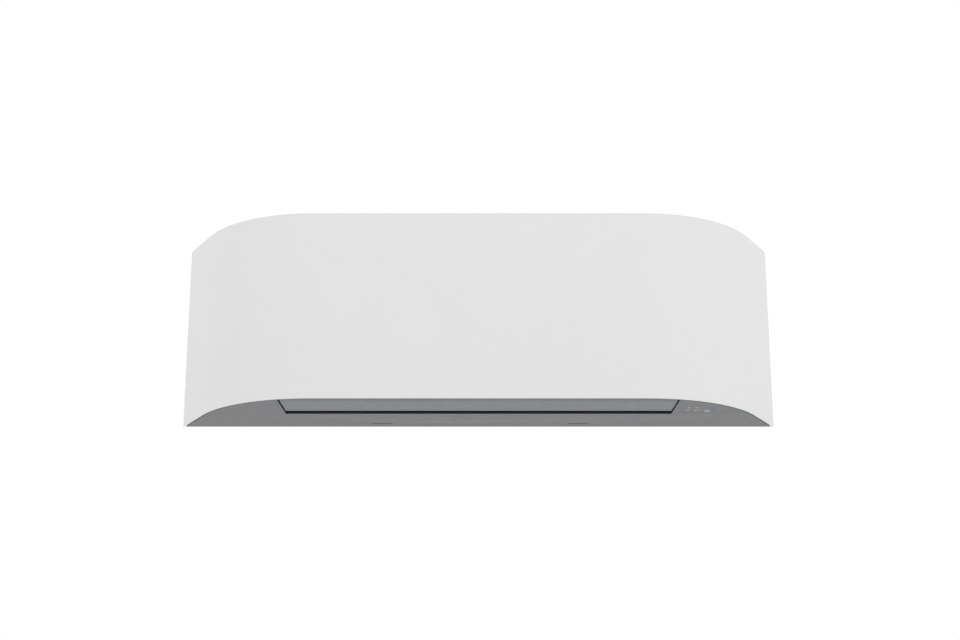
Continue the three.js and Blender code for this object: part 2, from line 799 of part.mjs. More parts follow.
// A tray open to the wall: back wall, rim, and the pipe channel along the bottom.
function casingTray() {
  const half = channelLength / 2;
  const back = block(-caseHalf, caseHalf, caseFrontY, caseBackY, channelTop - caseWall, caseTop);
  const top = block(-caseHalf, caseHalf, caseFrontY, -1, caseTop - caseWall, caseTop);
  const channel = drawn(
    [
      P(caseBackY, channelTop),
      P(channelFrontY, channelTop),
      P(channelFrontY, caseBottom),
      P(-1, caseBottom),
      P(-1, caseBottom + caseWall),
      P(channelFrontY + caseWall, caseBottom + caseWall),
      P(channelFrontY + caseWall, channelTop - caseWall),
      P(caseBackY, channelTop - caseWall),
    ],
    -half,
    half,
  );
  const ends = bothSides((side) => {
    const [s0, s1] = ordered(side * caseHalf, side * (caseHalf - caseWall));
    const [c0, c1] = ordered(side * half, side * (half - caseWall));
    const [l0, l1] = ordered(side * caseHalf, side * (half - caseWall));
    return [
      block(s0, s1, caseFrontY, -1, caseBottom, caseTop),
      block(c0, c1, channelFrontY, caseBackY, caseBottom, channelTop),
      block(l0, l1, caseFrontY, caseBackY, caseBottom, channelTop),
      block(l0, l1, caseFrontY, -1, caseBottom, caseBottom + caseWall),
    ];
  }).flat();
  return [back, top, channel, ...ends];
}

// Wings run forward from the tray, inside the cover's straight ends.
function casingWings() {
  const inset = panelInset + panelRim + seat + caseWall / 2;
  const frontEnd = arcCentreY - (cornerRadius - inset) * Math.cos(sweep);
  const backEnd = caseFrontY + 1.5;
  const line = [P(halfWidthAt(frontEnd, inset), frontEnd), P(halfWidthAt(backEnd, inset), backEnd)];
  const right = stripOf(line, caseWall);
  const left = right.map((p) => P(-p.x, p.y)).reverse();
  return [right, left].map((plan) => raised(plan, restZ, caseTop));
}

// The housing stands in the tray: trough, scroll, and a bulkhead at each end of the fan.
function fanHousing() {
  const [x0, x1] = [outletCentre - bulkheadSpread, outletCentre + bulkheadSpread];
  const troughLine = [
    P(troughFrontY - 2, troughZ + troughLip),
    P(troughFrontY, troughZ),
    P(housingBackY, troughZ),
  ];
  const trough = wallAlong(troughLine, caseWall, x0, x1);
  const scroll = wallAlong(scrollLine(), caseWall, x0, x1);
  const bulkheads = [x0, x1].map((x) =>
    drawn(bulkheadPlan, x - bulkheadWall / 2, x + bulkheadWall / 2),
  );
  const bearingEnd = x0 - bearingLength;
  const bearingSeat = rodX(fanY, fanZ, bearingEnd, x0, bearingRadius + 6, 20);
  const bearingHole = rodX(fanY, fanZ, bearingEnd - 1, x0 + 5, bearingRadius + seat, 20);
  const shaftHole = rodX(fanY, fanZ, motorX - 20, motorX, motorBoss + 2);
  const pinHoles = [x0, x1].map((x) => rodX(flapY, flapZ, x - 5, x + 5, flapPin + pinPlay, 12));
  const body = join([trough, scroll, ...bulkheads, bearingSeat]);
  return cut(body, [bearingHole, shaftHole, ...pinHoles]);
}

// Motor saddles, feet for the motor clamp and posts for the control box, on the tray's back wall.
function casingMounts() {
  const rootY = caseFrontY + 1;
  const saddles = [0.2, 0.8].map((share) => {
    const x = motorX + motorLength * share;
    const y = fanY + motorRadius * 0.55;
    return block(x - 1.5, x + 1.5, y, rootY, fanZ - 30, fanZ + 30);
  });
  const half = strapFoot / 2;
  const feet = clampScrewHeights.map((z) =>
    block(motorMiddle - 10, motorMiddle + 10, footY + seat, rootY, z - half, z + half),
  );
  const posts = [0.25, 0.75].map((share) => {
    const x = boxStart + boxWidth * share;
    return block(x - 2, x + 2, boxY + boxDepth + seat, rootY, boxTop - 32, boxTop - 10);
  });
  return [...saddles, ...feet, ...posts];
}

function rearChassis() {
  const motorRoom = rodX(fanY, fanZ, motorX - 0.5, motorX + motorLength + 2, motorRadius + seat, 28);
  const pipeX = [gasDropX - 14, liquidDropX + 14];
  const [y0, y1] = [channelFrontY + caseWall, caseFrontY - 1];
  const pipeWindow = block(pipeX[0], pipeX[1], y0, y1, channelTop - 6, channelTop + 1);
  const hookWindows = bothSides((side) => {
    const x = side * hookSpread;
    const half = hookWidth / 2 + 3;
    const [z0, z1] = [hookHeight - 16, hookHeight + seat];
    return block(x - half, x + half, caseFrontY - 1, caseBackY + 1, z0, z1);
  });
  const deckHoles = deckScrews.map((p) => rodZ(p.x, p.y, caseTop - 6, caseTop + 1, screwHole, 8));
  const footHoles = clampScrewHeights.map((z) =>
    rodY(motorMiddle, z, footY - 1, footY + 14, screwHole, 8),
  );
  const body = join([...casingTray(), ...casingWings(), ...casingMounts()]);
  return cut(body, [motorRoom, pipeWindow, ...hookWindows, ...deckHoles, ...footHoles]);
}

// ---- Fan, bearing and motor ---------------------------------------------------------------

function fanWheel() {
  const half = fanLength / 2;
  const [x0, x1] = [outletCentre - half, outletCentre + half];
  const ringInner = fanRadius - fanRingWidth;
  const discs = [];
  for (let i = 0; i <= fanSections; i++) {
    const x = x0 + ((fanLength - fanDisc) * i) / fanSections;
    const disc = rodX(fanY, fanZ, x, x + fanDisc, fanRadius - 0.5, 24);
    const isEnd = i === 0 || i === fanSections;
    discs.push(isEnd ? disc : disc.subtract(rodX(fanY, fanZ, x - 1, x + 4, ringInner, 16)));
  }
  const blades = [];
  const bladeCircle = fanRadius - fanBladeWidth / 2 - 0.6;
  for (let i = 0; i < fanBlades; i++) {
    const turn = (i / fanBlades) * 2 * Math.PI;
    const geometry = new THREE.BoxGeometry(fanLength - 1, fanBladeWidth, fanBladeWall);
    geometry.rotateX(fanBladeLean * RAD);
    geometry.translate(outletCentre, bladeCircle, 0);
    geometry.rotateX(turn);
    geometry.translate(0, fanY, fanZ);
    blades.push(toSolid(geometry));
  }
  const stubEnd = outletCentre - bulkheadSpread - bearingLength + 1;
  const stub = rodX(fanY, fanZ, stubEnd, x0 + 1, shaftRadius, 16);
  const hub = rodX(fanY, fanZ, x1 - hubLength, x1, hubRadius, 20);
  const bore = rodX(fanY, fanZ, x1 - hubLength + 2, x1 + 1, shaftRadius + shaftPlay, 16);
  return join([...discs, ...blades, stub, hub]).subtract(bore);
}

function fanBearing() {
  const x1 = outletCentre - bulkheadSpread;
  const ring = rodX(fanY, fanZ, x1 - bearingLength, x1, bearingRadius, 20);
  return ring.subtract(rodX(fanY, fanZ, x1 - 20, x1 + 5, shaftRadius + shaftPlay, 16));
}

function fanMotor() {
  const profile = [
    P(0, 0),
    P(motorBoss, 0),
    P(motorBoss, 4),
    P(motorRadius - 6, 4),
    P(motorRadius, 10),
    P(motorRadius, motorLength - 8),
    P(motorRadius - 8, motorLength),
    P(0, motorLength),
  ];
  const geometry = new THREE.LatheGeometry(profile, 28);
  geometry.rotateZ(-Math.PI / 2);
  geometry.translate(motorX, fanY, fanZ);
  const bore = rodX(fanY, fanZ, motorX - 1, motorX + 21, shaftRadius + shaftPlay, 16);
  return toSolid(geometry).subtract(bore);
}

function motorShaft() {
  const hubBottom = outletCentre + fanLength / 2 - hubLength + 2;
  return rodX(fanY, fanZ, hubBottom + seat, motorX + 20, shaftRadius, 16);
}

function motorClamp() {
  const line = [P(footY - strapWall / 2, fanZ + footZ + strapFoot / 2)];
  line.push(P(footY - strapWall / 2, fanZ + strapRadius));
  for (let i = 0; i <= 10; i++) {
    const turn = Math.PI / 2 + strapTurn * i;
    line.push(P(fanY + strapRadius * Math.cos(turn), fanZ + strapRadius * Math.sin(turn)));
  }
  line.push(P(footY - strapWall / 2, fanZ - strapRadius));
  line.push(P(footY - strapWall / 2, fanZ - footZ - strapFoot / 2));
  const half = strapWidth / 2;
  const strap = wallAlong(line, strapWall, motorMiddle - half, motorMiddle + half);
  const holes = clampScrewHeights.map((z) =>
    rodY(motorMiddle, z, footY - 9, footY + 9, screwHole, 8),
  );
  return cut(strap, holes);
}

// ---- Outlet duct and vanes ----------------------------------------------------------------

const scrollExit = scrollPoint(1);
const ductDown = P(-Math.cos(vaneTilt * RAD), -Math.sin(vaneTilt * RAD));
const downDuct = (s) => scrollExit.clone().addScaledVector(ductDown, s);
const vaneFootPoint = downDuct(vaneFoot);
const ductLength = (scrollExit.y - restZ) / Math.sin(vaneTilt * RAD);
const ductTop = P(fanY - 56.5, panFloorZ - ductWall / 2 - seat - 0.2);
const ductLip = P(frontY + 15.5, bottomZ + 13);

const vanePlaces = [-1, 1].flatMap((side) => {
  const places = [];
  for (let i = 0; i < vanesPerSide; i++) {
    const step = (i - (vanesPerSide - 1) / 2) * vanePitch;
    places.push(outletCentre + side * vaneGroupSpread + step);
  }
  return places;
});

// The frame of one vane: its Z axis is the pivot, pointing away from the duct's rear wall.
function vaneFrame(x) {
  const turn = new THREE.Matrix4().makeRotationX(vaneTilt * RAD);
  return turn.setPosition(x, vaneFootPoint.x, vaneFootPoint.y);
}

function outletDuct() {
  const outer = ductHalf + ductWall;
  const [x0, x1] = [outletCentre - outer, outletCentre + outer];
  const rear = wallAlong([downDuct(ductClearance), downDuct(ductLength)], ductWall, x0, x1);
  const front = wallAlong([ductTop, P(ductTop.x - 17, ductTop.y - 25), ductLip], ductWall, x0, x1);
  const endPlan = [
    downDuct(ductClearance + 2),
    ductTop,
    ductLip,
    P(flapY - 18, ductLip.y),
    P(flapY - 8, restZ),
    downDuct(ductLength - 0.5),
  ];
  const ends = bothSides((side) => {
    const [e0, e1] = ordered(outletCentre + side * ductHalf, outletCentre + side * outer);
    return drawn(endPlan, e0, e1);
  });
  const level = block(x0 - 1, x1 + 1, frontY, 0, bottomZ - 20, restZ);
  const pinHole = rodX(flapY, flapZ, x0 - 1, x1 + 1, flapPin + pinPlay, 12);
  const pivotHoles = vanePlaces.map((x) => {
    const geometry = rodGeometry(-5, 5, vanePivotRadius + pinPlay, 12);
    return toSolid(geometry.applyMatrix4(vaneFrame(x)));
  });
  return cut(join([rear, front, ...ends]), [level, pinHole, ...pivotHoles]);
}

// Local frame: Z along the pivot, Y upstream, on the centre line of the duct's rear wall.
function vane(pinEnd) {
  const half = vaneThickness / 2;
  const plan = [
    P(-vaneAhead, vaneRoot),
    P(vaneBehind, vaneRoot),
    P(vaneBehind, vaneRoot + 6),
    P(vaneTopBehind, vaneTop),
    P(-vaneAhead, vaneTop),
  ];
  const blade = drawn(plan, -half, half);
  const collarFoot = ductWall / 2 + seat;
  const collar = rodZ(0, 0, collarFoot, vaneRoot + 4, vaneCollar, 12);
  const pivot = rodZ(0, 0, pinEnd, vaneRoot, vanePivotRadius, 12);
  const crank = rodZ(0, crankArm, linkFoot - 1, vaneRoot + 1, crankRadius, 10);
  return join([blade, collar, pivot, crank]);
}

const linkFoot = vaneRoot - 0.6 - linkThickness;
const followerPin = -ductWall / 2 + 0.2;
const driverPin = -ductWall / 2 - seat - driverDepth;

// Local frame: Z along the crank pins, centred on the first vane's pin.
function vaneLink() {
  const reach = (vanesPerSide - 1) * vanePitch;
  const half = linkWidth / 2;
  const bar = block(-half, reach + half, -half, half, 0, linkThickness);
  const holes = [];
  for (let i = 0; i < vanesPerSide; i++) {
    holes.push(rodZ(i * vanePitch, 0, -1, linkThickness + 1, crankRadius + pinPlay, 10));
  }
  return cut(bar, holes);
}

// Local frame: that of the vane that it turns. The can lies behind the duct's rear wall.
function vaneMotor() {
  const top = -ductWall / 2 - seat;
  const can = rodZ(0, stepperOffset, top - stepperLength, top, stepperRadius, 20);
  const ear = block(-17, 17, stepperOffset - 3, stepperOffset + 3, top - 2, top);
  const bore = rodZ(0, 0, top - driverDepth - 1, top + 1, vanePivotRadius + pinPlay, 12);
  return can.add(ear).subtract(bore);
}

// ---- Heat exchanger and drain pan ---------------------------------------------------------

// Centre lines of the three slabs in (y, z): front lower, front upper and rear.
const coilFrontY = frontY + coilSetBack;
const coilBend = P(coilFrontY, bottomZ + coilBendHeight);
const coilPeak = P(fanY - coilPeakAhead, topZ - coilPeakDrop);
const coilFoot = P(-coilFootFromWall, bottomZ + coilFootHeight);
const slabFootZ = panFloorZ + slabAbovePan;
const along = (from, to, distance) => {
  const direction = to.clone().sub(from).normalize();
  return from.clone().addScaledVector(direction, distance);
};
const upperRun = coilPeak.clone().sub(coilBend).length();
const rearEnd = coilFoot.clone().sub(coilPeak).length() - rearSlabFootGap;
const peakAngle = coilBend.clone().sub(coilPeak).angleTo(coilFoot.clone().sub(coilPeak));
const slabPeakGap = slabThickness / 2 / Math.tan(peakAngle / 2) + slabPeakClearance;
const slabLines = {
  evaporator_front_lower: [P(coilFrontY, slabFootZ), P(coilFrontY, coilBend.y - 1)],
  evaporator_front_upper: [
    along(coilBend, coilPeak, slabBendGap),
    along(coilBend, coilPeak, upperRun - slabPeakGap),
  ],
  evaporator_rear: [
    along(coilPeak, coilFoot, slabPeakGap),
    along(coilPeak, coilFoot, rearEnd),
  ],
};

function slab(line) {
  return wallAlong(line, slabThickness, outletCentre - slabHalf, outletCentre + slabHalf);
}

// Half a ring of tube between two holes of a tube plate, standing out from it.
function returnBend(side, plateX, start, end) {
  const middle = start.clone().add(end).multiplyScalar(0.5);
  const run = end.clone().sub(start);
  const geometry = new THREE.TorusGeometry(run.length() / 2, bendTube, 6, 6, Math.PI);
  const stubs = [start, end].map((p) => {
    const [x0, x1] = ordered(plateX - side * tubePlateWall * 0.5, plateX + side * 3.05);
    return rodX(p.x, p.y, x0, x1, bendTube, 6);
  });
  const across = V(0, run.x, run.y).normalize();
  const out = V(side, 0, 0);
  const turn = new THREE.Matrix4().makeBasis(across, out, across.clone().cross(out));
  geometry.applyMatrix4(turn);
  geometry.translate(plateX + side * 3, middle.x, middle.y);
  return join([halfRing(geometry), ...stubs]);
}

// Closes the two open ends of a half torus.
function halfRing(geometry) {
  const source = mergeVertices(bare(geometry), 1e-3);
  const position = source.attributes.position;
  const index = Array.from(source.index.array);
  const edges = new Map();
  for (let i = 0; i < index.length; i += 3) {
    for (let j = 0; j < 3; j++) {
      edges.set(index[i + j] + "," + index[i + ((j + 1) % 3)], [index[i + j], index[i + ((j + 1) % 3)]]);
    }
  }
  const open = [...edges.values()].filter(([a, b]) => !edges.has(b + "," + a));
  const next = new Map(open.map(([a, b]) => [b, a]));
  const points = Array.from(position.array);
  while (next.size) {
    const first = next.keys().next().value;
    const loop = [];
    for (let at = first; next.has(at); ) {
      loop.push(at);
      const to = next.get(at);
      next.delete(at);
      at = to;
    }
    for (let i = 1; i < loop.length - 1; i++) index.push(loop[0], loop[i], loop[i + 1]);
  }
  const closed = new THREE.BufferGeometry();
  closed.setAttribute("position", new THREE.BufferAttribute(new Float32Array(points), 3));
  closed.setIndex(index);
  return toSolid(closed);
}

const plateFace = slabHalf + seat + tubePlateWall;

// Tube places along the three centre lines, in pairs that a return bend joins.
const pairAt = (from, to, distance) => [
  along(from, to, distance),
  along(from, to, distance + bendPitch),
];
const slabFoot = P(coilFrontY, slabFootZ);
const upperTubes = slabBendGap + upperTubeInset;
const bendPairs = [
  pairAt(slabFoot, coilBend, tubeInset),
  pairAt(slabFoot, coilBend, tubeInset + 2 * bendPitch),
  pairAt(coilBend, coilPeak, upperTubes),
  pairAt(coilBend, coilPeak, upperTubes + 2 * bendPitch),
  pairAt(coilPeak, coilFoot, slabPeakGap + tubeInset),
];

function tubePlate(side) {
  const [x0, x1] = ordered(
    outletCentre + side * (slabHalf + seat),
    outletCentre + side * plateFace,
  );
  const half = tubePlateWidth / 2;
  const panFloor = panFloorZ + panWall + seat;
  const lower = block(x0, x1, coilFrontY - half, coilFrontY + half, panFloor, coilBend.y);
  const upper = wallAlong([coilBend, along(coilBend, coilPeak, upperRun + 4)], tubePlateWidth, x0, x1);
  const rear = wallAlong([along(coilPeak, coilFoot, -4), coilFoot], tubePlateWidth, x0, x1);
  const corner = rodX(coilBend.x, coilBend.y, x0, x1, half, 16);
  const tooHigh = block(x0 - 1, x1 + 1, frontY, 0, wellBottom - 3, topZ);
  const underTrough = block(x0 - 1, x1 + 1, -80, 0, 0, troughZ + caseWall / 2 + seat);
  const behind = block(x0 - 1, x1 + 1, caseFrontY - 2, 0, 0, topZ);
  const plate = cut(join([lower, upper, rear, corner]), [tooHigh, underTrough, behind]);
  const face = outletCentre + side * plateFace;
  const bends = bendPairs.map(([start, end]) => returnBend(side, face, start, end));
  return join([plate, ...bends]);
}

const panFrontY = frontY + 10;
const spigotX = panHalf - 11;

function drainPan() {
  const top = panFloorZ + panDepth;
  const tongueY = fanY - 51;
  const [x0, x1] = [outletCentre - panHalf, outletCentre + panHalf];
  const outer = [
    P(panFrontY, top),
    P(panFrontY, panFloorZ),
    P(tongueY - 6, panFloorZ),
    P(tongueY, top + 1),
    P(tongueY - 2.4, top + 1),
  ];
  const inner = [
    P(panFrontY + panWall, top + 9),
    P(panFrontY + panWall, panFloorZ + panWall),
    P(tongueY - 8, panFloorZ + panWall),
    P(tongueY - 2.8, top + 9),
  ];
  const plan = raised(outline(deckInset + 0.5, coverBackY), panFloorZ - 1, top + 5);
  const innerPlan = raised(outline(deckInset + 0.5 + panWall, coverBackY), panFloorZ - 2, top + 9);
  const body = drawn(outer, x0, x1).intersect(plan);
  const hollow = drawn(inner, x0 + panWall, x1 - panWall).intersect(innerPlan);
  const z = panFloorZ + panWall + spigotRadius;
  const spigots = bothSides((side) =>
    rodY(outletCentre + side * spigotX, z, tongueY - 4, tongueY + spigotLength, spigotRadius, 16),
  );
  const bores = bothSides((side) =>
    rodY(outletCentre + side * spigotX, z, tongueY - 12, tongueY + spigotLength + 1, spigotRadius - 1.6, 12),
  );
  return cut(join([body, ...spigots]), [hollow, ...bores]);
}

function drainPlug() {
  const x = outletCentre - spigotX;
  const z = panFloorZ + panWall + spigotRadius;
  const end = fanY - 51 + spigotLength;
  const cap = rodY(x, z, end - plugLength, end + 2.4, spigotRadius + seat + 2, 16);
  return cap.subtract(rodY(x, z, end - plugLength - 1, end + seat, spigotRadius + seat, 16));
}

// ---- Refrigerant pipes --------------------------------------------------------------------

const gasDropX = unitWidth / 2 - gasDropFromEnd;
const liquidDropX = unitWidth / 2 - liquidDropFromEnd;
const gasEnd = gasJointSpread;
const liquidEnd = liquidJointSpread;
const gasRun = P(-gasFromWall, channelTop - gasBelowChannelTop);
const liquidRun = P(-liquidFromWall, channelTop - liquidBelowChannelTop);
const pipeStartX = outletCentre + plateFace + seat;
const gasStart = along(coilPeak, coilFoot, rearEnd - gasExitRise);
const liquidStart = along(coilPeak, coilFoot, rearEnd - liquidExitRise);

function gasPipe() {
  const corners = [
    V(pipeStartX, gasStart.x, gasStart.y),
    V(pipeStartX + gasLeadOut, gasStart.x, gasStart.y),
    V(gasDropX, gasRun.x, coilBend.y),
    V(gasDropX, gasRun.x, gasRun.y),
    V(gasEnd, gasRun.x, gasRun.y),
  ];
  return pipe(corners, gasRadius);
}

function liquidPipe() {
  const corners = [
    V(pipeStartX, liquidStart.x, liquidStart.y),
    V(pipeStartX + liquidLeadOut, liquidStart.x, liquidStart.y),
    V(liquidDropX, liquidRun.x, coilFoot.y),
    V(liquidDropX, liquidRun.x, liquidRun.y),
    V(liquidEnd, liquidRun.x, liquidRun.y),
  ];
  return pipe(corners, liquidRadius, pipeBend - 2);
}

// A hexagonal nut that covers the flared end of a pipe and stays open towards the joint.
function flareNut(endX, run, pipeRadius, nutRadius) {
  const hex = rodX(run.x, run.y, endX - 6, endX - 6 + nutLength, nutRadius, 6);
  const bore = rodX(run.x, run.y, endX - 8, endX + nutLength, pipeRadius + seat, 12);
  return hex.subtract(bore);
}

function pipeSleeve() {
  const [x0, x1] = [gasEnd + 76, gasDropX - 22];
  const foam = rodX(gasRun.x, gasRun.y, x0, x1, sleeveRadius, 12);
  return foam.subtract(rodX(gasRun.x, gasRun.y, x0 - 1, x1 + 1, gasRadius + seat, 12));
}

function pipeClamp() {
  const [x0, x1] = [gasEnd + 60, gasEnd + 72];
  const y0 = channelFrontY + caseWall + seat;
  const [z0, z1] = [gasRun.y - 10, channelTop - caseWall - seat];
  const body = block(x0, x1, y0, liquidRun.x + 8, z0, z1);
  const gasHole = rodX(gasRun.x, gasRun.y, x0 - 1, x1 + 1, gasRadius + seat, 12);
  const liquidHole = rodX(liquidRun.x, liquidRun.y, x0 - 1, x1 + 1, liquidRadius + seat, 12);
  return cut(body, [gasHole, liquidHole]);
}

// ---- Control box, lights and leads --------------------------------------------------------

const boxEnd = boxStart + boxWidth;
const boxBackY = boxY + boxDepth;
const buttonX = boxEnd - 22;
const buttonZ = boxBottom + 24;
const boardY = boxBackY - boxWall - 8;
const lidWall = 2;
const lidY = boxY - seat - lidWall;

function controlBox() {
  const outer = block(boxStart, boxEnd, boxY, boxBackY, boxBottom, boxTop);
  const hollow = block(
    boxStart + boxWall,
    boxEnd - boxWall,
    boxY - 1,
    boxBackY - boxWall,
    boxBottom + boxWall,
    boxTop - boxWall,
  );
  const pegs = [boxStart + 9, boxEnd - 9].flatMap((x) =>
    [boxBottom + 44, boxTop - 9].map((z) =>
      rodY(x, z, boardY + seat, boxBackY - 1, 3, 8),
    ),
  );
  const leadHole = rodZ(motorLeadX, boxLeadY, boxBottom - 1, boxBottom + 4, leadRadius + 0.6, 8);
  const displayHole = rodZ(displayLeadX, boxLeadY, boxBottom - 1, boxBottom + 4, leadRadius + 0.6, 8);
  return cut(join([outer.subtract(hollow), ...pegs]), [leadHole, displayHole]);
}

// The board carries a relay, two capacitors and the switch under the temporary button.
function controlBoard() {
  const [z0, z1] = [boxBottom + 18, boxTop - 5];
  const sheet = block(boxStart + 5, boxEnd - 5, boardY - boardWall, boardY, z0, z1);
  const front = boardY - boardWall + 0.5;
  const relay = block(boxStart + 12, boxStart + 30, front - 14, front, z1 - 30, z1 - 14);
  const tallCap = rodY(boxStart + 46, z1 - 20, front - 20, front, 7, 12);
  const smallCap = rodY(boxStart + 64, z1 - 18, front - 13, front, 5, 12);
  const chip = block(boxStart + 36, boxStart + 58, front - 3, front, z0 + 30, z0 + 44);
  const switchTop = lidY + lidWall + 6 + buttonTravel + 0.4;
  const touch = block(buttonX - 4, buttonX + 4, switchTop, front, buttonZ - 4, buttonZ + 4);
  return join([sheet, relay, tallCap, smallCap, chip, touch]);
}

function terminalBlock() {
  const y1 = boxBackY - boxWall - seat;
  const z0 = boxBottom + boxWall + seat;
  const [x0, x1] = [boxStart + 8, boxStart + 52];
  const body = block(x0, x1, y1 - 7, y1, z0, z0 + 14);
  const walls = [0, 1, 2, 3, 4].map((i) => {
    const x = x0 + (i * (x1 - x0 - 2)) / 4;
    return block(x, x + 2, y1 - 16, y1 - 6, z0, z0 + 14);
  });
  return join([body, ...walls]);
}

function controlLid() {
  const plate = block(boxStart, boxEnd, lidY, lidY + lidWall, boxBottom, boxTop);
  const lip = [
    block(boxStart + boxWall + seat, boxStart + boxWall + 2, lidY + 1, boxY + 5, boxBottom + 8, boxTop - 8),
    block(boxEnd - boxWall - 2, boxEnd - boxWall - seat, lidY + 1, boxY + 5, boxBottom + 8, boxTop - 8),
  ];
  const hole = rodY(buttonX, buttonZ, lidY - 1, lidY + lidWall + 1, buttonRadius + 0.4, 16);
  return join([plate, ...lip]).subtract(hole);
}

// The button stands out of the lid, held by a collar behind it.
function temporaryButton() {
  const behind = lidY + lidWall + seat;
  const stem = rodY(buttonX, buttonZ, lidY - 3.5, behind + 1, buttonRadius, 16);
  const collar = rodY(buttonX, buttonZ, behind, behind + 2, buttonRadius + 2, 16);
  const foot = rodY(buttonX, buttonZ, behind + 1, lidY + lidWall + 6, 2, 10);
  return join([stem, collar, foot]);
}

function displayBoard() {
  const sheet = block(board.x0, board.x1, board.y0, board.y1, displayBoardZ, displayBoardZ + boardWall);
  const top = displayBoardZ + boardWall - 0.3;
  const receiver = block(board.x0 + 6, board.x0 + 14, board.y1 - 12, board.y1 - 5, top, top + 5);
  const socket = block(board.x1 - 14, board.x1 - 4, board.y0 + 6, board.y0 + 12, top, top + 6);
  return join([sheet, receiver, socket]);
}

function iconLight(place) {
  const top = displayBoardZ - seat;
  const pip = rodZ(place.x, place.y, bottomZ, top, iconRadius, 12);
  return pip.add(rodZ(place.x, place.y, restZ, restZ + 1.5, iconRadius + 1.2, 12));
}

function operationLamp() {
  const lens = raised(lampPlan(0), bottomZ, displayBoardZ - seat);
  return lens.add(raised(lampPlan(1.5), restZ, restZ + 1.5));
}

const leadRadius = 2;
const motorLeadX = motorMiddle - 12;
const displayLeadX = boxEnd - 12;
const boxLeadY = boxY + 16;

// Leads end on the piece that they serve, a seat away from it, and inside the control box.
function motorLead() {
  const motorTop = fanZ + motorRadius * Math.cos(Math.asin((boxLeadY - fanY) / motorRadius));
  const start = V(motorLeadX, boxLeadY, motorTop + 0.7);
  return pipe([start, V(motorLeadX, boxLeadY, boxBottom + 8)], leadRadius, 5, 6);
}

function displayLead() {
  const x = board.x1 - 9;
  const y = board.y0 + 9;
  const corners = [
    V(x, y, displayBoardZ + boardWall + 6),
    V(x, y, displayBoardZ + 22),
    V(displayLeadX, boxLeadY - 20, displayBoardZ + 60),
    V(displayLeadX, boxLeadY, boxBottom - 30),
    V(displayLeadX, boxLeadY, boxBottom + 8),
  ];
  return pipe(corners, leadRadius, 6, 6);
}

// ---- Mounting plate and screws ------------------------------------------------------------

function mountingPlate() {
  const half = plateWidth / 2;
  const sheet = block(-half, half, -plateWall, 0, plateBottom, plateTop);
  const flanges = [
    block(-half, half, -plateFlange, 0, plateTop - plateWall, plateTop),
    block(-half, half, -plateFlange, 0, plateBottom, plateBottom + plateWall),
  ];
  const lipY = caseFrontY - 4;
  const hooks = bothSides((side) => {
    const x = side * hookSpread;
    const [x0, x1] = [x - hookWidth / 2, x + hookWidth / 2];
    const arm = block(x0, x1, lipY, -0.5, hookHeight - plateWall, hookHeight);
    return arm.add(block(x0, x1, lipY, lipY + plateWall, hookHeight - 1, hookHeight + hookLip));
  });
  const slots = [];
  const slotPitch = (plateWidth - 100) / 6;
  for (let i = -3; i <= 3; i++) {
    slots.push(rodY(i * slotPitch, plateTop - 48, -3, 1, 3, 8));
    slots.push(rodY(i * slotPitch, plateBottom + 42, -3, 1, 3, 8));
  }
  const windows = bothSides((side) => block(side * 165 - 60, side * 165 + 60, -3, 1, -20, 40));
  return cut(join([sheet, ...flanges, ...hooks]), [...slots, ...windows]);
}

// Local frame: the underside of the head, with the shank running down -Z.
function screw() {
  const head = rodZ(0, 0, 0, screwHeadHeight, screwHead, 12);
  const shank = rodZ(0, 0, -screwLength, 0.5, screwRadius, 8);
  const slot = block(-0.5, 0.5, -screwHead - 1, screwHead + 1, screwHeadHeight - 0.9, screwHeadHeight + 1);
  return join([head, shank]).subtract(slot);
}

// ---- Assembly -----------------------------------------------------------------------------

const unit = new THREE.Group();
unit.name = "mini_split_indoor_unit";

function place(parent, name, solid, material, origin = V(0, 0, 0)) {
  const geometry = toGeometry(solid).translate(-origin.x, -origin.y, -origin.z);
  geometry.computeVertexNormals();
  const mesh = new THREE.Mesh(geometry, material);
  mesh.name = name;
  mesh.position.copy(origin);
  parent.add(mesh);
  return mesh;
}

place(unit, "front_cover", frontCover(), finishes.shell(), V(0, hingeY, hingeZ));
place(unit, "rear_chassis", rearChassis(), finishes.casing());
place(unit, "fan_housing", fanHousing(), finishes.casing());
place(unit, "inlet_frame", inletFrame(), finishes.casing());
place(unit, "bottom_panel", bottomPanel(), finishes.underside());
place(unit, "mounting_plate", mountingPlate(), finishes.steel());
place(unit, "outlet_duct", outletDuct(), finishes.duct());
place(unit, "drain_pan", drainPan(), finishes.duct());
place(unit, "drain_plug", drainPlug(), finishes.rubber());
place(unit, "flap", flap(), finishes.underside(), V(outletCentre, flapY, flapZ));
place(unit, "flap_motor", flapMotor(), finishes.motor());

["left", "right"].forEach((name, i) => {
  const filter = place(unit, "air_filter_" + name, airFilter(), finishes.net());
  const middleY = (inletFrontY + inletBackY) / 2;
  filter.position.set(windowCentre(i * 2 - 1), middleY, grilleTop + seat);
});

// Each set of vanes hangs on one link bar, and its first vane is turned by a motor.
vanePlaces.forEach((x, i) => {
  const isDriver = i % vanesPerSide === 0;
  const frame = new THREE.Group();
  frame.applyMatrix4(vaneFrame(x));
  unit.add(frame);
  const blade = vane(isDriver ? driverPin : followerPin);
  place(frame, "vane_" + (i + 1), blade, finishes.vane());
  if (!isDriver) return;
  const name = i === 0 ? "left" : "right";
  const link = place(frame, "vane_link_" + name, vaneLink(), finishes.vane());
  link.position.set(0, crankArm, linkFoot);
  place(frame, "vane_motor_" + name, vaneMotor(), finishes.motor());
});

const fanAxis = V(outletCentre, fanY, fanZ);
place(unit, "fan_wheel", fanWheel(), finishes.vane(), fanAxis);
place(unit, "motor_shaft", motorShaft(), finishes.steel(), fanAxis);
place(unit, "fan_bearing", fanBearing(), finishes.rubber());
place(unit, "fan_motor", fanMotor(), finishes.motor());
place(unit, "motor_clamp", motorClamp(), finishes.steel());

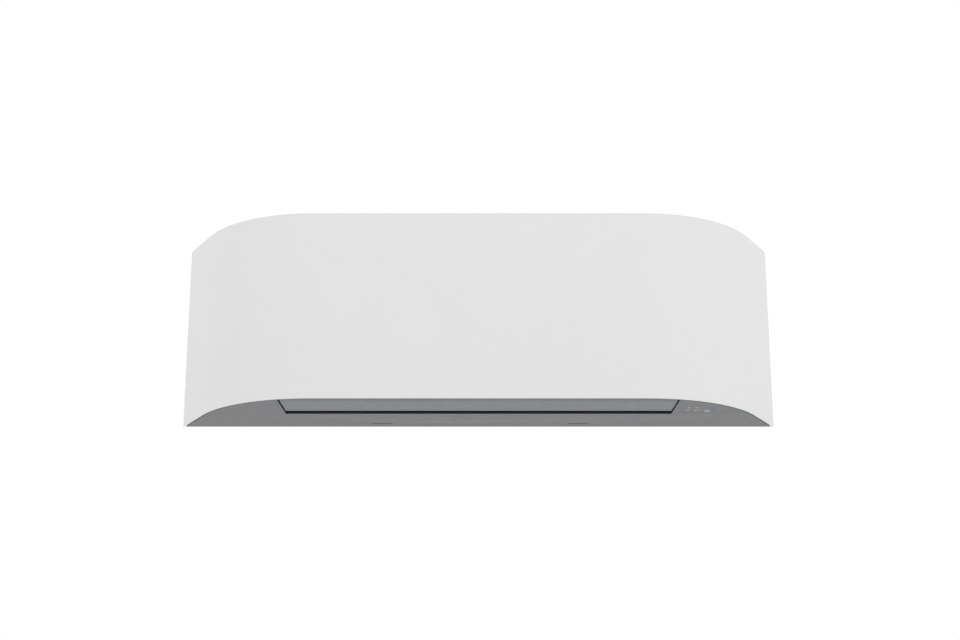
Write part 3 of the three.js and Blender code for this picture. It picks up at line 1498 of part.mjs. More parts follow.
Object.entries(slabLines).forEach(([name, line]) => place(unit, name, slab(line), finishes.fins()));
place(unit, "tube_plate_left", tubePlate(-1), finishes.steel());
place(unit, "tube_plate_right", tubePlate(1), finishes.steel());

place(unit, "gas_pipe", gasPipe(), finishes.copper());
place(unit, "liquid_pipe", liquidPipe(), finishes.copper());
const gasNut = flareNut(gasEnd, gasRun, gasRadius, gasNutRadius);
const liquidNut = flareNut(liquidEnd, liquidRun, liquidRadius, liquidNutRadius);
place(unit, "gas_flare_nut", gasNut, finishes.brass());
place(unit, "liquid_flare_nut", liquidNut, finishes.brass());
place(unit, "pipe_sleeve", pipeSleeve(), finishes.foam());
place(unit, "pipe_clamp", pipeClamp(), finishes.casing());

place(unit, "control_box", controlBox(), finishes.casing());
place(unit, "control_board", controlBoard(), finishes.board());
place(unit, "terminal_block", terminalBlock(), finishes.terminal());
place(unit, "control_lid", controlLid(), finishes.steel());
place(unit, "temporary_button", temporaryButton(), finishes.shell());
place(unit, "display_board", displayBoard(), finishes.board());
iconPlaces.forEach((p, i) => place(unit, "icon_light_" + (i + 1), iconLight(p), finishes.icon()));
place(unit, "operation_lamp", operationLamp(), finishes.lamp());
place(unit, "motor_lead", motorLead(), finishes.rubber());
place(unit, "display_lead", displayLead(), finishes.rubber());

deckScrews.forEach((p, i) => {
  const mesh = place(unit, "screw_deck_" + ["left", "right"][i], screw(), finishes.steel());
  mesh.position.set(p.x, p.y, deckZ + seat);
});
[fanZ - footZ, fanZ + footZ].forEach((z, i) => {
  const mesh = place(unit, "screw_clamp_" + ["lower", "upper"][i], screw(), finishes.steel());
  mesh.position.set(motorMiddle, footY - strapWall - seat, z);
  mesh.rotation.x = Math.PI / 2;
});

export default unit;
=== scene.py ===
"""A wall-mounted indoor unit of a mini split air conditioner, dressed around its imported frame.

Shapes are drawn in millimetres, in the frame's own axes: X along the unit, +Y into the wall, +Z up.
They become metres when a piece is finished.
"""

import json
import math

import bmesh
import bpy
from bpy.props import FloatProperty, FloatVectorProperty, IntProperty, PointerProperty
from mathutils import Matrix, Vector


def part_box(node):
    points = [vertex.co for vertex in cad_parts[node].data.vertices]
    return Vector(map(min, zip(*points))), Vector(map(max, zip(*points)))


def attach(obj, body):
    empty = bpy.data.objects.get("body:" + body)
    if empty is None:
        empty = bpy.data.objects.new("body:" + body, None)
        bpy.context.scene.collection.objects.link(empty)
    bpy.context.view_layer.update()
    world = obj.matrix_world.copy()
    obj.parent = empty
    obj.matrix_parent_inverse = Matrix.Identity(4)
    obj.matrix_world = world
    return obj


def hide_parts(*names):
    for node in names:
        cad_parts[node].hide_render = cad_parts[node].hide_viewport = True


bl_info = {
    "name": "Wall indoor unit",
    "version": (1, 0, 0),
    "blender": (4, 5, 0),
    "location": "View3D > Sidebar > Indoor unit",
    "description": "Dresses the frame of a wall-mounted indoor unit with finished pieces",
    "category": "Object",
}

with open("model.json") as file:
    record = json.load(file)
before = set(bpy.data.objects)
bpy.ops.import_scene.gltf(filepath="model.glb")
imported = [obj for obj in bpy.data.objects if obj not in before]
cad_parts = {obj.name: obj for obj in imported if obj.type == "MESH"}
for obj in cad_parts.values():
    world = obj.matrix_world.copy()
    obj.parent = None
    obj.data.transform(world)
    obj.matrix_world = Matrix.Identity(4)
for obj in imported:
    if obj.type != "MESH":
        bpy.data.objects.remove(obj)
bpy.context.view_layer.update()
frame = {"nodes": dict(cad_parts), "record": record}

# ---- Sizes that the pieces share, in millimetres ------------------------------------------

UNIT_BOTTOM = -155.0
UNIT_TOP = 155.0
UNIT_FRONT = -210.0
COVER_BACK = -20.0
COVER_END = 493.5
FRONT_FLAT = 265.0  # half of the straight stretch of the front
CORNER_RADIUS = 211.0
AIR_CENTRE = 3.0  # the air path sits a little to the right
NOTCH_CENTRE = 0.5
PANEL_TOP = -152.0
PANEL_INSET = 5.2  # from the cover's outside to the panel's side
RIM_INSET = 3.4  # the same at the panel's visible lower edge
NOTCH_BACK = -108.6
INLET_FRONT = -186.0
INLET_BACK = -51.5
FLAP_AXIS = Vector((0.0, -122.0, -145.0))
FLAP_LOW = -154.0
FLAP_WALL = 4.0
FLAP_REAR = -122.5
FLAP_END_GAP = 2.6
CURL_START = -186.0  # depth where the flap's front begins to curl up
CURL_RUN = 17.0
CURL_RISE = 5.5
CURL_POWER = 1.7
FAN_AXIS = Vector((0.0, -104.0, -32.0))
FAN_START = -300.0
FAN_END = 306.0
MOTOR_START = 328.5
BOARD_FACE = -99.6  # front of the control board
TUBE_RADIUS = 3.5

CORNER_CENTRE_Y = UNIT_FRONT + CORNER_RADIUS
_reach = Vector((COVER_END - FRONT_FLAT, CORNER_CENTRE_Y - COVER_BACK))
SWEEP = math.atan2(_reach.x, _reach.y) - math.acos(CORNER_RADIUS / _reach.length)


def half_width_at(y, inset):
    """Half-width, at depth y, of the cover's outline moved inwards by inset."""
    radius = CORNER_RADIUS - inset
    tangent_y = CORNER_CENTRE_Y - radius * math.cos(SWEEP)
    if y < tangent_y:
        return FRONT_FLAT + math.sqrt(radius**2 - (CORNER_CENTRE_Y - y) ** 2)
    return FRONT_FLAT + radius * math.sin(SWEEP) + (y - tangent_y) / math.tan(SWEEP)


def front_at(x, inset):
    """Depth of the same outline at a distance x from the middle."""
    past = max(0.0, abs(x) - FRONT_FLAT)
    return CORNER_CENTRE_Y - math.sqrt((CORNER_RADIUS - inset) ** 2 - past**2)


def widened(x, y, old, new):
    """Moves a point that lies on the outline at one inset out to another inset."""
    past = Vector((abs(x) - FRONT_FLAT, y - CORNER_CENTRE_Y))
    turn = min(math.atan2(max(past.x, 0.0), -past.y), SWEEP)
    out = Vector((math.sin(turn), -math.cos(turn)))
    if abs(CORNER_RADIUS - past.dot(out) - old) > 0.15:
        return x, y
    past += out * (old - new)
    return math.copysign(past.x + FRONT_FLAT, x), past.y + CORNER_CENTRE_Y


def outline(inset, arc_steps, flat_steps=10, end_steps=6):
    """The outline from the left rear corner, round the front, to the right rear corner."""
    radius = CORNER_RADIUS - inset
    right = [Vector((FRONT_FLAT * i / flat_steps, UNIT_FRONT + inset)) for i in range(flat_steps)]
    for i in range(arc_steps + 1):
        turn = SWEEP * i / arc_steps
        x = FRONT_FLAT + radius * math.sin(turn)
        right.append(Vector((x, CORNER_CENTRE_Y - radius * math.cos(turn))))
    tangent_y = right[-1].y
    for i in range(1, end_steps + 1):
        y = tangent_y + (COVER_BACK - tangent_y) * i / end_steps
        right.append(Vector((half_width_at(y, inset), y)))
    left = [Vector((-p.x, p.y)) for p in reversed(right[1:])]
    return left + right


# ---- Colours ------------------------------------------------------------------------------


def from_display(share):
    """A display value from 0 to 1 as the linear value that Blender's colour fields hold."""
    return share / 12.92 if share <= 0.04045 else ((share + 0.055) / 1.055) ** 2.4


def tone(code):
    """A linear colour from six hexadecimal digits."""
    return tuple(from_display(int(code[i : i + 2], 16) / 255) for i in (0, 2, 4))


def slot_colour(slot):
    """A material slot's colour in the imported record, made linear."""
    for entry in frame["record"]["materials"]:
        if entry["slot"] == slot:
            return tuple(from_display(share) for share in entry["base_color"])
    raise ValueError(f"the record has no material slot {slot!r}")


def shade_of(colour, factor):
    return tuple(min(1.0, share * factor) for share in colour)


# ---- Settings -----------------------------------------------------------------------------


def colour_field(name, description, default):
    return FloatVectorProperty(
        name=name, description=description, default=default, subtype="COLOR", min=0, max=1
    )


def length_field(name, description, default):
    return FloatProperty(
        name=name, description=description, default=default, unit="LENGTH", min=0, precision=5
    )


class OuterSettings(bpy.types.PropertyGroup):
    cover_colour: colour_field("Cover", "Colour of the front cover", slot_colour("shell"))
    under_colour: colour_field("Underside", "Colour of the underside panel", tone("747576"))
    flap_colour: colour_field("Flap", "Colour of the flap", tone("787e7f"))
    lamp_colour: colour_field("Lamp", "Colour of the operation lamp", tone("5e7aa0"))
    icon_colour: colour_field("Icons", "Colour of the icon lights", tone("b8b8b8"))
    cover_wall: length_field("Cover wall", "Thickness of the front cover", 0.0032)
    lower_edge: length_field("Lower edge", "Rounding of the cover's lower edge", 0.0009)
    lower_lip: length_field("Lower lip", "Thickness of the cover at its lower edge", 0.0014)
    upper_edge: length_field("Upper edge", "Rounding of the cover's upper edge", 0.001)
    arc_steps: IntProperty(
        name="Corner steps", description="Faces round each corner of the cover", default=48, min=8
    )


class InsideSettings(bpy.types.PropertyGroup):
    casing_colour: colour_field("Casing", "Colour of the inner mouldings", slot_colour("casing"))
    duct_colour: colour_field("Duct", "Colour of the outlet duct", slot_colour("duct"))
    vane_colour: colour_field("Vanes", "Colour of the vanes and their links", slot_colour("vane"))
    net_colour: colour_field("Filter", "Colour of the air filters", slot_colour("net"))
    fin_colour: colour_field("Fins", "Colour of the coil's fins", slot_colour("fins"))
    steel_colour: colour_field("Steel", "Colour of the zinc plating", slot_colour("steel"))
    copper_colour: colour_field("Copper", "Colour of the pipes", slot_colour("copper"))
    brass_colour: colour_field("Brass", "Colour of the nuts", slot_colour("brass"))
    fin_pitch: length_field("Fin pitch", "Distance between two fins of the coil", 0.0018)
    fin_wall: length_field("Fin wall", "Thickness of a fin", 0.0003)
    net_pitch: length_field("Net pitch", "Distance between two strands of a filter", 0.0016)
    net_strand: length_field("Net strand", "Thickness of a strand", 0.0004)
    blade_count: IntProperty(
        name="Fan blades", description="Blades round the fan wheel", default=36, min=6, max=60
    )


class StageSettings(bpy.types.PropertyGroup):
    floor_colour: colour_field("Floor", "Colour of the floor", (0.8, 0.8, 0.8))
    floor_height: FloatProperty(
        name="Floor height", description="Height of the floor", default=-1.35, unit="LENGTH"
    )
    daylight: FloatProperty(
        name="Surround", description="Strength of the even light", default=1.0, min=0
    )
    key_power: FloatProperty(
        name="Key lamp", description="Power of the lamp on the right", default=5.0, min=0, unit="POWER"
    )
    camera_place: FloatVectorProperty(
        name="Camera", description="Place of the camera", default=(0.0027, -2.898, -0.854),
        subtype="TRANSLATION", unit="LENGTH",
    )
    camera_tilt: FloatProperty(
        name="Camera tilt", description="Turn about X from straight down", default=math.radians(107.11),
        subtype="ANGLE", unit="ROTATION",
    )
    camera_lens: FloatProperty(
        name="Lens", description="Focal length on a 36 mm sensor", default=66.31, min=1, unit="CAMERA"
    )


# ---- Finishes -----------------------------------------------------------------------------


class Finish:
    """A material in the making: a Principled shader and the textures that drive it."""

    def __init__(self, name, roughness=0.5, metallic=0.0):
        self.material = bpy.data.materials.new(name)
        self.material.use_nodes = True
        self.tree = self.material.node_tree
        self.shader = self.tree.nodes["Principled BSDF"]
        self.shader.inputs["Roughness"].default_value = roughness
        self.shader.inputs["Metallic"].default_value = metallic
        self.place = self.tree.nodes.new("ShaderNodeTexCoord").outputs["Object"]

    def add(self, kind, **values):
        """Adds a node. Values are inputs by name, with _ for a space."""
        made = self.tree.nodes.new(kind)
        for name, value in values.items():
            socket = made.inputs[name.replace("_", " ")]
            if isinstance(value, bpy.types.NodeSocket):
                self.tree.links.new(value, socket)
            else:
                socket.default_value = value
        return made

    def link(self, output, name):
        self.tree.links.new(output, self.shader.inputs[name])

    def stretched(self, scale):
        return self.add("ShaderNodeMapping", Vector=self.place, Scale=scale).outputs["Vector"]

    def grain(self, size, detail=2.0, stretch=(1, 1, 1)):
        """Cloudy noise whose features are about size millimetres across."""
        made = self.add(
            "ShaderNodeTexNoise", Vector=self.stretched(stretch), Scale=1000 / size, Detail=detail
        )
        return made.outputs["Fac"]

    def cells(self, size, output="Distance", feature="F1", stretch=(1, 1, 1)):
        """Cells about size millimetres across."""
        made = self.add("ShaderNodeTexVoronoi", Vector=self.stretched(stretch), Scale=1000 / size)
        made.feature = feature
        return made.outputs[output]

    def colours(self, share, low, high, start=0.3, end=0.7):
        """Base colour that runs from low to high as share runs from start to end."""
        ramp = self.add("ShaderNodeValToRGB", Fac=share)
        ramp.color_ramp.elements[0].position = start
        ramp.color_ramp.elements[1].position = end
        ramp.color_ramp.elements[0].color = (*low, 1)
        ramp.color_ramp.elements[1].color = (*high, 1)
        self.link(ramp.outputs["Color"], "Base Color")

    def spread(self, share, low, high, name="Roughness"):
        made = self.add("ShaderNodeMapRange", Value=share)
        made.inputs["From Min"].default_value = 0.3
        made.inputs["From Max"].default_value = 0.7
        made.inputs["To Min"].default_value = low
        made.inputs["To Max"].default_value = high
        self.link(made.outputs["Result"], name)

    def relief(self, height, depth, strength=1.0):
        """Bumps of the given depth in millimetres."""
        made = self.add("ShaderNodeBump", Height=height, Strength=strength, Distance=depth / 1000)
        self.link(made.outputs["Normal"], "Normal")


def moulded(name, colour, roughness, grain=0.6, depth=0.012, cloud=90.0, contrast=0.012):
    """Moulded plastic: an even colour with faint clouds, and the fine grain of the mould."""
    made = Finish(name, roughness)
    made.colours(made.grain(cloud, 3), shade_of(colour, 1 - contrast), shade_of(colour, 1 + contrast))
    made.spread(made.grain(14, 3), roughness - 0.04, roughness + 0.05)
    made.relief(made.grain(grain, 3), depth)
    return made.material


def zinc_plated(name, colour):
    """Zinc-plated sheet: soft spangles with a finer brushed grain over them."""
    made = Finish(name, 0.4, 1.0)
    spangle = made.cells(7, "Color")
    share = made.add("ShaderNodeRGBToBW", Color=spangle).outputs["Val"]
    made.colours(share, shade_of(colour, 0.86), shade_of(colour, 1.08), 0.1, 0.9)
    made.spread(share, 0.34, 0.5)
    made.relief(made.grain(0.5, 4, (1, 1, 0.15)), 0.01)
    return made.material


def aluminium_fins(name, colour):
    """Coated aluminium leaf, a little cloudy from one end of the coil to the other."""
    made = Finish(name, 0.42, 0.75)
    made.colours(made.grain(38, 4, (1, 0.4, 0.4)), shade_of(colour, 0.9), shade_of(colour, 1.06))
    made.spread(made.grain(6, 3), 0.36, 0.5)
    made.relief(made.grain(1.8, 2, (0.1, 1, 1)), 0.03)
    return made.material


def drawn_copper(name, colour):
    """Drawn copper tube with darker stains where it was handled and brazed."""
    made = Finish(name, 0.3, 1.0)
    made.colours(made.grain(11, 5), shade_of(colour, 0.62), shade_of(colour, 1.05), 0.28, 0.62)
    made.spread(made.grain(4, 4), 0.24, 0.46)
    made.relief(made.grain(0.8, 3, (0.2, 1, 1)), 0.01)
    return made.material


def machined_brass(name, colour):
    """Turned brass, with fine lathe rings round the X axis."""
    made = Finish(name, 0.28, 1.0)
    made.colours(made.grain(5, 4), shade_of(colour, 0.82), shade_of(colour, 1.08))
    made.spread(made.grain(2, 3), 0.22, 0.38)
    made.relief(made.grain(0.35, 2, (1, 0.05, 0.05)), 0.012)
    return made.material


def soft_rubber(name, colour):
    made = Finish(name, 0.8)
    made.colours(made.grain(7, 4), shade_of(colour, 0.8), shade_of(colour, 1.25))
    made.relief(made.grain(0.7, 3), 0.03)
    return made.material


def cell_foam(name, colour):
    """Closed-cell foam: small round cells with darker seams between them."""
    made = Finish(name, 0.95)
    cell = made.cells(1.4)
    made.colours(cell, shade_of(colour, 1.04), shade_of(colour, 0.78), 0.2, 0.75)
    made.relief(cell, 0.25, 0.7)
    return made.material


def circuit_board(name, colour):
    """Solder mask over traces: the traces stand out a little paler, with square corners."""
    made = Finish(name, 0.35)
    cell = made.add("ShaderNodeTexVoronoi", Vector=made.place, Scale=1000 / 5.5)
    cell.distance = "CHEBYCHEV"
    cell.feature = "F2"
    made.colours(cell.outputs["Distance"], shade_of(colour, 0.8), shade_of(colour, 1.7), 0.52, 0.6)
    made.relief(cell.outputs["Distance"], 0.05, 0.5)
    return made.material


def light_lens(name, colour, glow, roughness=0.3):
    """A tinted lens, lit from behind at the given strength."""
    made = Finish(name, roughness)
    made.colours(made.grain(1.6, 2), shade_of(colour, 0.92), shade_of(colour, 1.05))
    made.relief(made.grain(0.4, 2), 0.006)
    made.shader.inputs["Coat Weight"].default_value = 0.3
    if glow:
        made.shader.inputs["Emission Color"].default_value = (*colour, 1)
        made.shader.inputs["Emission Strength"].default_value = glow
    return made.material


_finishes = {}


def finish(name):
    """The finish of that name, made when it is first asked for."""
    if name in _finishes:
        return _finishes[name]
    outer = bpy.context.scene.unit_outer
    inside = bpy.context.scene.unit_inside
    makers = {
        "white cover": lambda n: moulded(n, outer.cover_colour, 0.5, 0.7, 0.006, 160, 0.006),
        "grey underside": lambda n: moulded(n, outer.under_colour, 0.5, 0.6, 0.01, 70, 0.012),
        "grey flap": lambda n: moulded(n, outer.flap_colour, 0.46, 0.6, 0.008, 70, 0.012),
        "pale casing": lambda n: moulded(n, inside.casing_colour, 0.5, 0.8, 0.02, 60, 0.02),
        "dark duct": lambda n: moulded(n, inside.duct_colour, 0.5, 0.7, 0.02, 40, 0.12),
        "dark vane": lambda n: moulded(n, inside.vane_colour, 0.42, 0.6, 0.015, 30, 0.1),
        "filter frame": lambda n: moulded(n, inside.net_colour, 0.5, 0.6, 0.015, 40, 0.05),
        "filter net": lambda n: moulded(n, shade_of(inside.net_colour, 0.8), 0.6, 0.5, 0.01, 12, 0.1),
        "black terminal": lambda n: moulded(n, slot_colour("terminal"), 0.45, 0.5, 0.015, 20, 0.08),
        "dark part": lambda n: moulded(n, tone("1d1e20"), 0.35, 0.4, 0.008, 9, 0.12),
        "blue part": lambda n: moulded(n, tone("2a5f96"), 0.32, 0.4, 0.008, 9, 0.08),
        "tan part": lambda n: moulded(n, tone("b59a6c"), 0.4, 0.4, 0.01, 5, 0.15),
        "white lead": lambda n: moulded(n, tone("d8d6cf"), 0.45, 0.4, 0.02, 9, 0.06),
        "motor resin": lambda n: moulded(n, slot_colour("motor"), 0.5, 1.1, 0.05, 16, 0.05),
        "fins": lambda n: aluminium_fins(n, inside.fin_colour),
        "zinc plating": lambda n: zinc_plated(n, inside.steel_colour),
        "copper": lambda n: drawn_copper(n, inside.copper_colour),
        "brass": lambda n: machined_brass(n, inside.brass_colour),
        "rubber": lambda n: soft_rubber(n, slot_colour("rubber")),
        "foam": lambda n: cell_foam(n, slot_colour("foam")),
        "board": lambda n: circuit_board(n, slot_colour("board")),
        "icon light": lambda n: light_lens(n, outer.icon_colour, 0),
        "operation lamp": lambda n: light_lens(n, outer.lamp_colour, 0),
    }
    if name not in makers:
        raise ValueError(f"there is no finish named {name!r}")
    _finishes[name] = makers[name](name)
    return _finishes[name]


# ---- Mesh helpers, in millimetres ---------------------------------------------------------


def skin(bm, sections):
    """Joins closed loops of points, one after another, into a closed skin."""
    rings = [[bm.verts.new(p) for p in loop] for loop in sections]
    count = len(rings[0])
    for ring, after in zip(rings, rings[1:]):
        for i in range(count):
            j = (i + 1) % count
            bm.faces.new((ring[i], ring[j], after[j], after[i]))
    bm.faces.new(rings[0])
    bm.faces.new(rings[-1])


def block(bm, x0, x1, y0, y1, z0, z1):
    loops = [[(x, y0, z0), (x, y1, z0), (x, y1, z1), (x, y0, z1)] for x in (x0, x1)]
    skin(bm, loops)


def spokes(axis, sides):
    """The direction of an axis, X or Y, and the directions that point away from it all round."""
    along = Vector((1, 0, 0)) if axis == "X" else Vector((0, 1, 0))
    up = Vector((0, 0, 1))
    side = along.cross(up)
    turns = [2 * math.pi * i / sides for i in range(sides)]
    return along, [up * math.cos(turn) + side * math.sin(turn) for turn in turns]


def turned(bm, profile, origin, axis="X", sides=32):
    """Turns (distance, radius) points about an axis through origin."""
    along, outs = spokes(axis, sides)
    loops = []
    for distance, radius in profile:
        loops.append([origin + along * distance + out * radius for out in outs])
    skin(bm, loops)


def ring(bm, profile, origin, sides=32):
    """Turns a closed (distance, radius) profile about an X axis: a ring with a hole."""
    along, outs = spokes("X", sides)
    loops = []
    for out in outs:
        loops.append([bm.verts.new(origin + along * d + out * r) for d, r in profile])
    count = len(profile)
    for a, b in zip(loops, loops[1:] + loops[:1]):
        for i in range(count):
            j = (i + 1) % count
            bm.faces.new((a[i], a[j], b[j], b[i]))


def route(corners, radius, steps=8):
    """Straight stretches joined by rounded bends, as the pipes and leads run."""
    corners = [Vector(c) for c in corners]
    stops = [corners[0]]
    for before, corner, after in zip(corners, corners[1:], corners[2:]):
        into = (before - corner).normalized()
        out = (after - corner).normalized()
        trim = radius / math.tan(into.angle(out) / 2)
        start, end = corner + into * trim, corner + out * trim
        for i in range(steps + 1):
            t = i / steps
            stops.append(start * (1 - t) ** 2 + corner * 2 * t * (1 - t) + end * t**2)
    stops.append(corners[-1])
    return stops


def tube(bm, stops, radius, sides=18):
    """A round tube along a line of points, with no twist from one ring to the next."""
    loops = []
    normal = None
    for i, stop in enumerate(stops):
        before, after = stops[max(i - 1, 0)], stops[min(i + 1, len(stops) - 1)]
        tangent = (after - before).normalized()
        if normal is None:
            normal = tangent.orthogonal().normalized()
        normal = (normal - tangent * normal.dot(tangent)).normalized()
        side = tangent.cross(normal)
        loop = []
        for k in range(sides):
            turn = 2 * math.pi * k / sides
            loop.append(stop + (normal * math.cos(turn) + side * math.sin(turn)) * radius)
        loops.append(loop)
    skin(bm, loops)


def rounded_section(corners, steps=4):
    """A polygon of ((a, b), radius) corners, each rounded by its own radius."""
    points = []
    count = len(corners)
    for i, (corner, radius) in enumerate(corners):
        corner = Vector(corner)
        if radius <= 0:
            points.append(corner)
            continue
        into = (Vector(corners[i - 1][0]) - corner).normalized()
        out = (Vector(corners[(i + 1) % count][0]) - corner).normalized()
        half = into.angle(out) / 2
        middle = corner + (into + out).normalized() * (radius / math.sin(half))
        start = corner + into * (radius / math.tan(half)) - middle
        turn = math.pi - 2 * half
        sign = 1 if start.cross(corner - middle) > 0 else -1
        for k in range(steps + 1):
            angle = sign * turn * k / steps
            c, s = math.cos(angle), math.sin(angle)
            points.append(middle + Vector((start.x * c - start.y * s, start.x * s + start.y * c)))
    return points


# ---- Making pieces ------------------------------------------------------------------------


def settle(obj):
    """Turns what an object's modifiers make into a plain mesh of its own."""
    graph = bpy.context.evaluated_depsgraph_get()
    mesh = bpy.data.meshes.new_from_object(obj.evaluated_get(graph))
    old = obj.data
    obj.modifiers.clear()
    obj.data = mesh
    mesh.name = obj.name
    bpy.data.meshes.remove(old)


def show(name, mesh):
    obj = bpy.data.objects.new(name, mesh)
    bpy.context.scene.collection.objects.link(obj)
    return obj


def to_mesh(bm, name):
    """Closes a drawing in millimetres as a mesh in metres whose faces point outwards."""
    bmesh.ops.scale(bm, vec=(0.001,) * 3, verts=bm.verts)
    bmesh.ops.remove_doubles(bm, verts=bm.verts, dist=1e-7)
    bmesh.ops.recalc_face_normals(bm, faces=bm.faces)
    return kept_mesh(bm, name)


def smooth(mesh, angle):
    mesh.shade_smooth()
    mesh.set_sharp_from_angle(angle=math.radians(angle))


def hand_over(obj, body, replaced):
    """Tells the frame what the finished piece rides on and stands for."""
    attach(obj, body)
    if replaced:
        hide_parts(*replaced)
    return obj


def ease_edges(obj, width, segments=2, angle=35.0):
    """Rounds an object's edges by width millimetres."""
    bevel = obj.modifiers.new("Edges", "BEVEL")
    bevel.width = width / 1000
    bevel.segments = segments
    bevel.limit_method = "ANGLE"
    bevel.angle_limit = math.radians(angle)
    bevel.use_clamp_overlap = False
    bevel.harden_normals = True


def coated(name, mesh, coat, edge, angle):
    """An object with that mesh, its coat on and its edges eased."""
    mesh.materials.clear()
    mesh.materials.append(finish(coat))
    smooth(mesh, angle)
    obj = show(name, mesh)
    if edge:
        ease_edges(obj, edge)
        settle(obj)
    return obj


def piece(name, bm, body, coat, replaced=(), edge=0.0, angle=35.0):
    """Finishes a drawing as a piece: mesh, eased edges, coat, and its place in the frame."""
    obj = coated(name, to_mesh(bm, name), coat, edge, angle)
    return hand_over(obj, body, replaced)


def body_of(node):
    for body, members in frame["record"]["behaviour"]["bodies"].items():
        if node in members:
            return body
    raise ValueError(f"the frame has no node named {node!r}")


def copied(node):
    """A drawing, in metres, of a frame node's shape with its loose corners joined."""
    bm = bmesh.new()
    bm.from_mesh(frame["nodes"][node].data)
    bmesh.ops.remove_doubles(bm, verts=bm.verts, dist=2e-6)
    return bm


def kept_mesh(bm, name):
    """Closes a drawing in metres as a mesh."""
    mesh = bpy.data.meshes.new(name)
    bm.to_mesh(mesh)
    bm.free()
    return mesh


def from_frame(node, name, slot, coat, edge=0.3, angle=35.0, reshape=None):
    """A piece with a frame node's own shape, its flat faces merged and its edges eased.

    Faces with many corners are cut into triangles first, because easing would fold them.
    """
    bm = copied(node)
    bmesh.ops.dissolve_limit(
        bm, angle_limit=math.radians(0.6), verts=bm.verts, edges=bm.edges, use_dissolve_boundaries=False
    )
    wide = [face for face in bm.faces if len(face.verts) > 4]
    bmesh.ops.triangulate(bm, faces=wide)
    if reshape:
        reshape(bm)
    obj = coated(name, kept_mesh(bm, name), coat, edge, angle)
    return hand_over(obj, body_of(node), (node,))


# ---- Geometry node trees for what repeats -------------------------------------------------


class Tree:
    """A geometry node tree in the making, with named inputs."""

    def __init__(self, name, inputs):
        self.tree = bpy.data.node_groups.new(name, "GeometryNodeTree")
        face = self.tree.interface
        face.new_socket("Geometry", in_out="INPUT", socket_type="NodeSocketGeometry")
        face.new_socket("Geometry", in_out="OUTPUT", socket_type="NodeSocketGeometry")
        for label, kind in inputs:
            face.new_socket(label, in_out="INPUT", socket_type="NodeSocket" + kind)
        self.start = self.tree.nodes.new("NodeGroupInput")
        self.end = self.tree.nodes.new("NodeGroupOutput")

    def given(self, name):
        return self.start.outputs[name]

    def add(self, kind, values=None, **settings):
        """Adds a node with its settings, and sets or links its inputs by name or number."""
        made = self.tree.nodes.new(kind)
        for name, value in settings.items():
            setattr(made, name, value)
        for name, value in (values or {}).items():
            if isinstance(value, bpy.types.NodeSocket):
                self.tree.links.new(value, made.inputs[name])
            else:
                made.inputs[name].default_value = value
        return made

    def maths(self, operation, a, b=0.0):
        return self.add("ShaderNodeMath", {0: a, 1: b}, operation=operation).outputs[0]

    def close(self, instances):
        """Realizes the instances, gives them the finish and ends the tree."""
        real = self.add("GeometryNodeRealizeInstances", {"Geometry": instances}).outputs[0]
        values = {"Geometry": real, "Material": self.given("Finish")}
        done = self.add("GeometryNodeSetMaterial", values).outputs[0]
        self.tree.links.new(done, self.end.inputs[0])
        return self.tree


def row_tree():
    """Repeats a shape along a straight line, Count times, one Step apart."""
    made = Tree("Row", [("Count", "Int"), ("Step", "Vector"), ("Finish", "Material")])
    values = {"Count": made.given("Count"), "Offset": made.given("Step")}
    line = made.add("GeometryNodeMeshLine", values, mode="OFFSET").outputs[0]
    values = {"Points": line, "Instance": made.given("Geometry")}
    return made.close(made.add("GeometryNodeInstanceOnPoints", values).outputs[0])


def wheel_tree():
    """Repeats a shape drawn round the origin, Count times about an X axis through Centre."""
    made = Tree("Wheel", [("Count", "Int"), ("Centre", "Vector"), ("Finish", "Material")])
    values = {"Count": made.given("Count"), "Start Location": made.given("Centre"), "Offset": (0, 0, 0)}
    line = made.add("GeometryNodeMeshLine", values, mode="OFFSET").outputs[0]
    index = made.add("GeometryNodeInputIndex").outputs[0]
    share = made.maths("DIVIDE", index, made.given("Count"))
    turn = made.add("ShaderNodeCombineXYZ", {"X": made.maths("MULTIPLY", share, 2 * math.pi)}).outputs[0]
    values = {"Points": line, "Instance": made.given("Geometry"), "Rotation": turn}
    return made.close(made.add("GeometryNodeInstanceOnPoints", values).outputs[0])


def net_tree():
    """A flat net of square strands: Length by Width about Centre, with openings of Pitch."""
    sizes = [("Length", "Float"), ("Width", "Float"), ("Pitch", "Float"), ("Strand", "Float")]
    made = Tree("Net", [*sizes, ("Centre", "Vector"), ("Finish", "Material")])
    thick, pitch = made.given("Strand"), made.given("Pitch")
    layers = []
    for across, long in (("Length", "Width"), ("Width", "Length")):
        span = made.given(across)
        count = made.maths("FLOOR", made.maths("DIVIDE", span, pitch))
        start = made.maths("MULTIPLY", span, -0.5)
        step = made.maths("DIVIDE", span, count)
        first = made.maths("ADD", start, made.maths("MULTIPLY", step, 0.5))
        axis, other = ("X", "Y") if across == "Length" else ("Y", "X")
        from_centre = made.add("ShaderNodeCombineXYZ", {axis: first}).outputs[0]
        place = made.add("ShaderNodeVectorMath", {0: from_centre, 1: made.given("Centre")})
        offset = made.add("ShaderNodeCombineXYZ", {axis: step}).outputs[0]
        values = {"Count": count, "Start Location": place.outputs[0], "Offset": offset}
        line = made.add("GeometryNodeMeshLine", values, mode="OFFSET").outputs[0]
        size = {axis: thick, other: made.given(long), "Z": thick}
        cube = made.add("GeometryNodeMeshCube", {"Size": made.add("ShaderNodeCombineXYZ", size).outputs[0]})
        values = {"Points": line, "Instance": cube.outputs[0]}
        layers.append(made.add("GeometryNodeInstanceOnPoints", values).outputs[0])
    joined = made.add("GeometryNodeJoinGeometry")
    for layer in layers:
        made.tree.links.new(layer, joined.inputs[0])
    return made.close(joined.outputs[0])


_trees = {}


def tree(make):
    if make not in _trees:
        _trees[make] = make()
    return _trees[make]


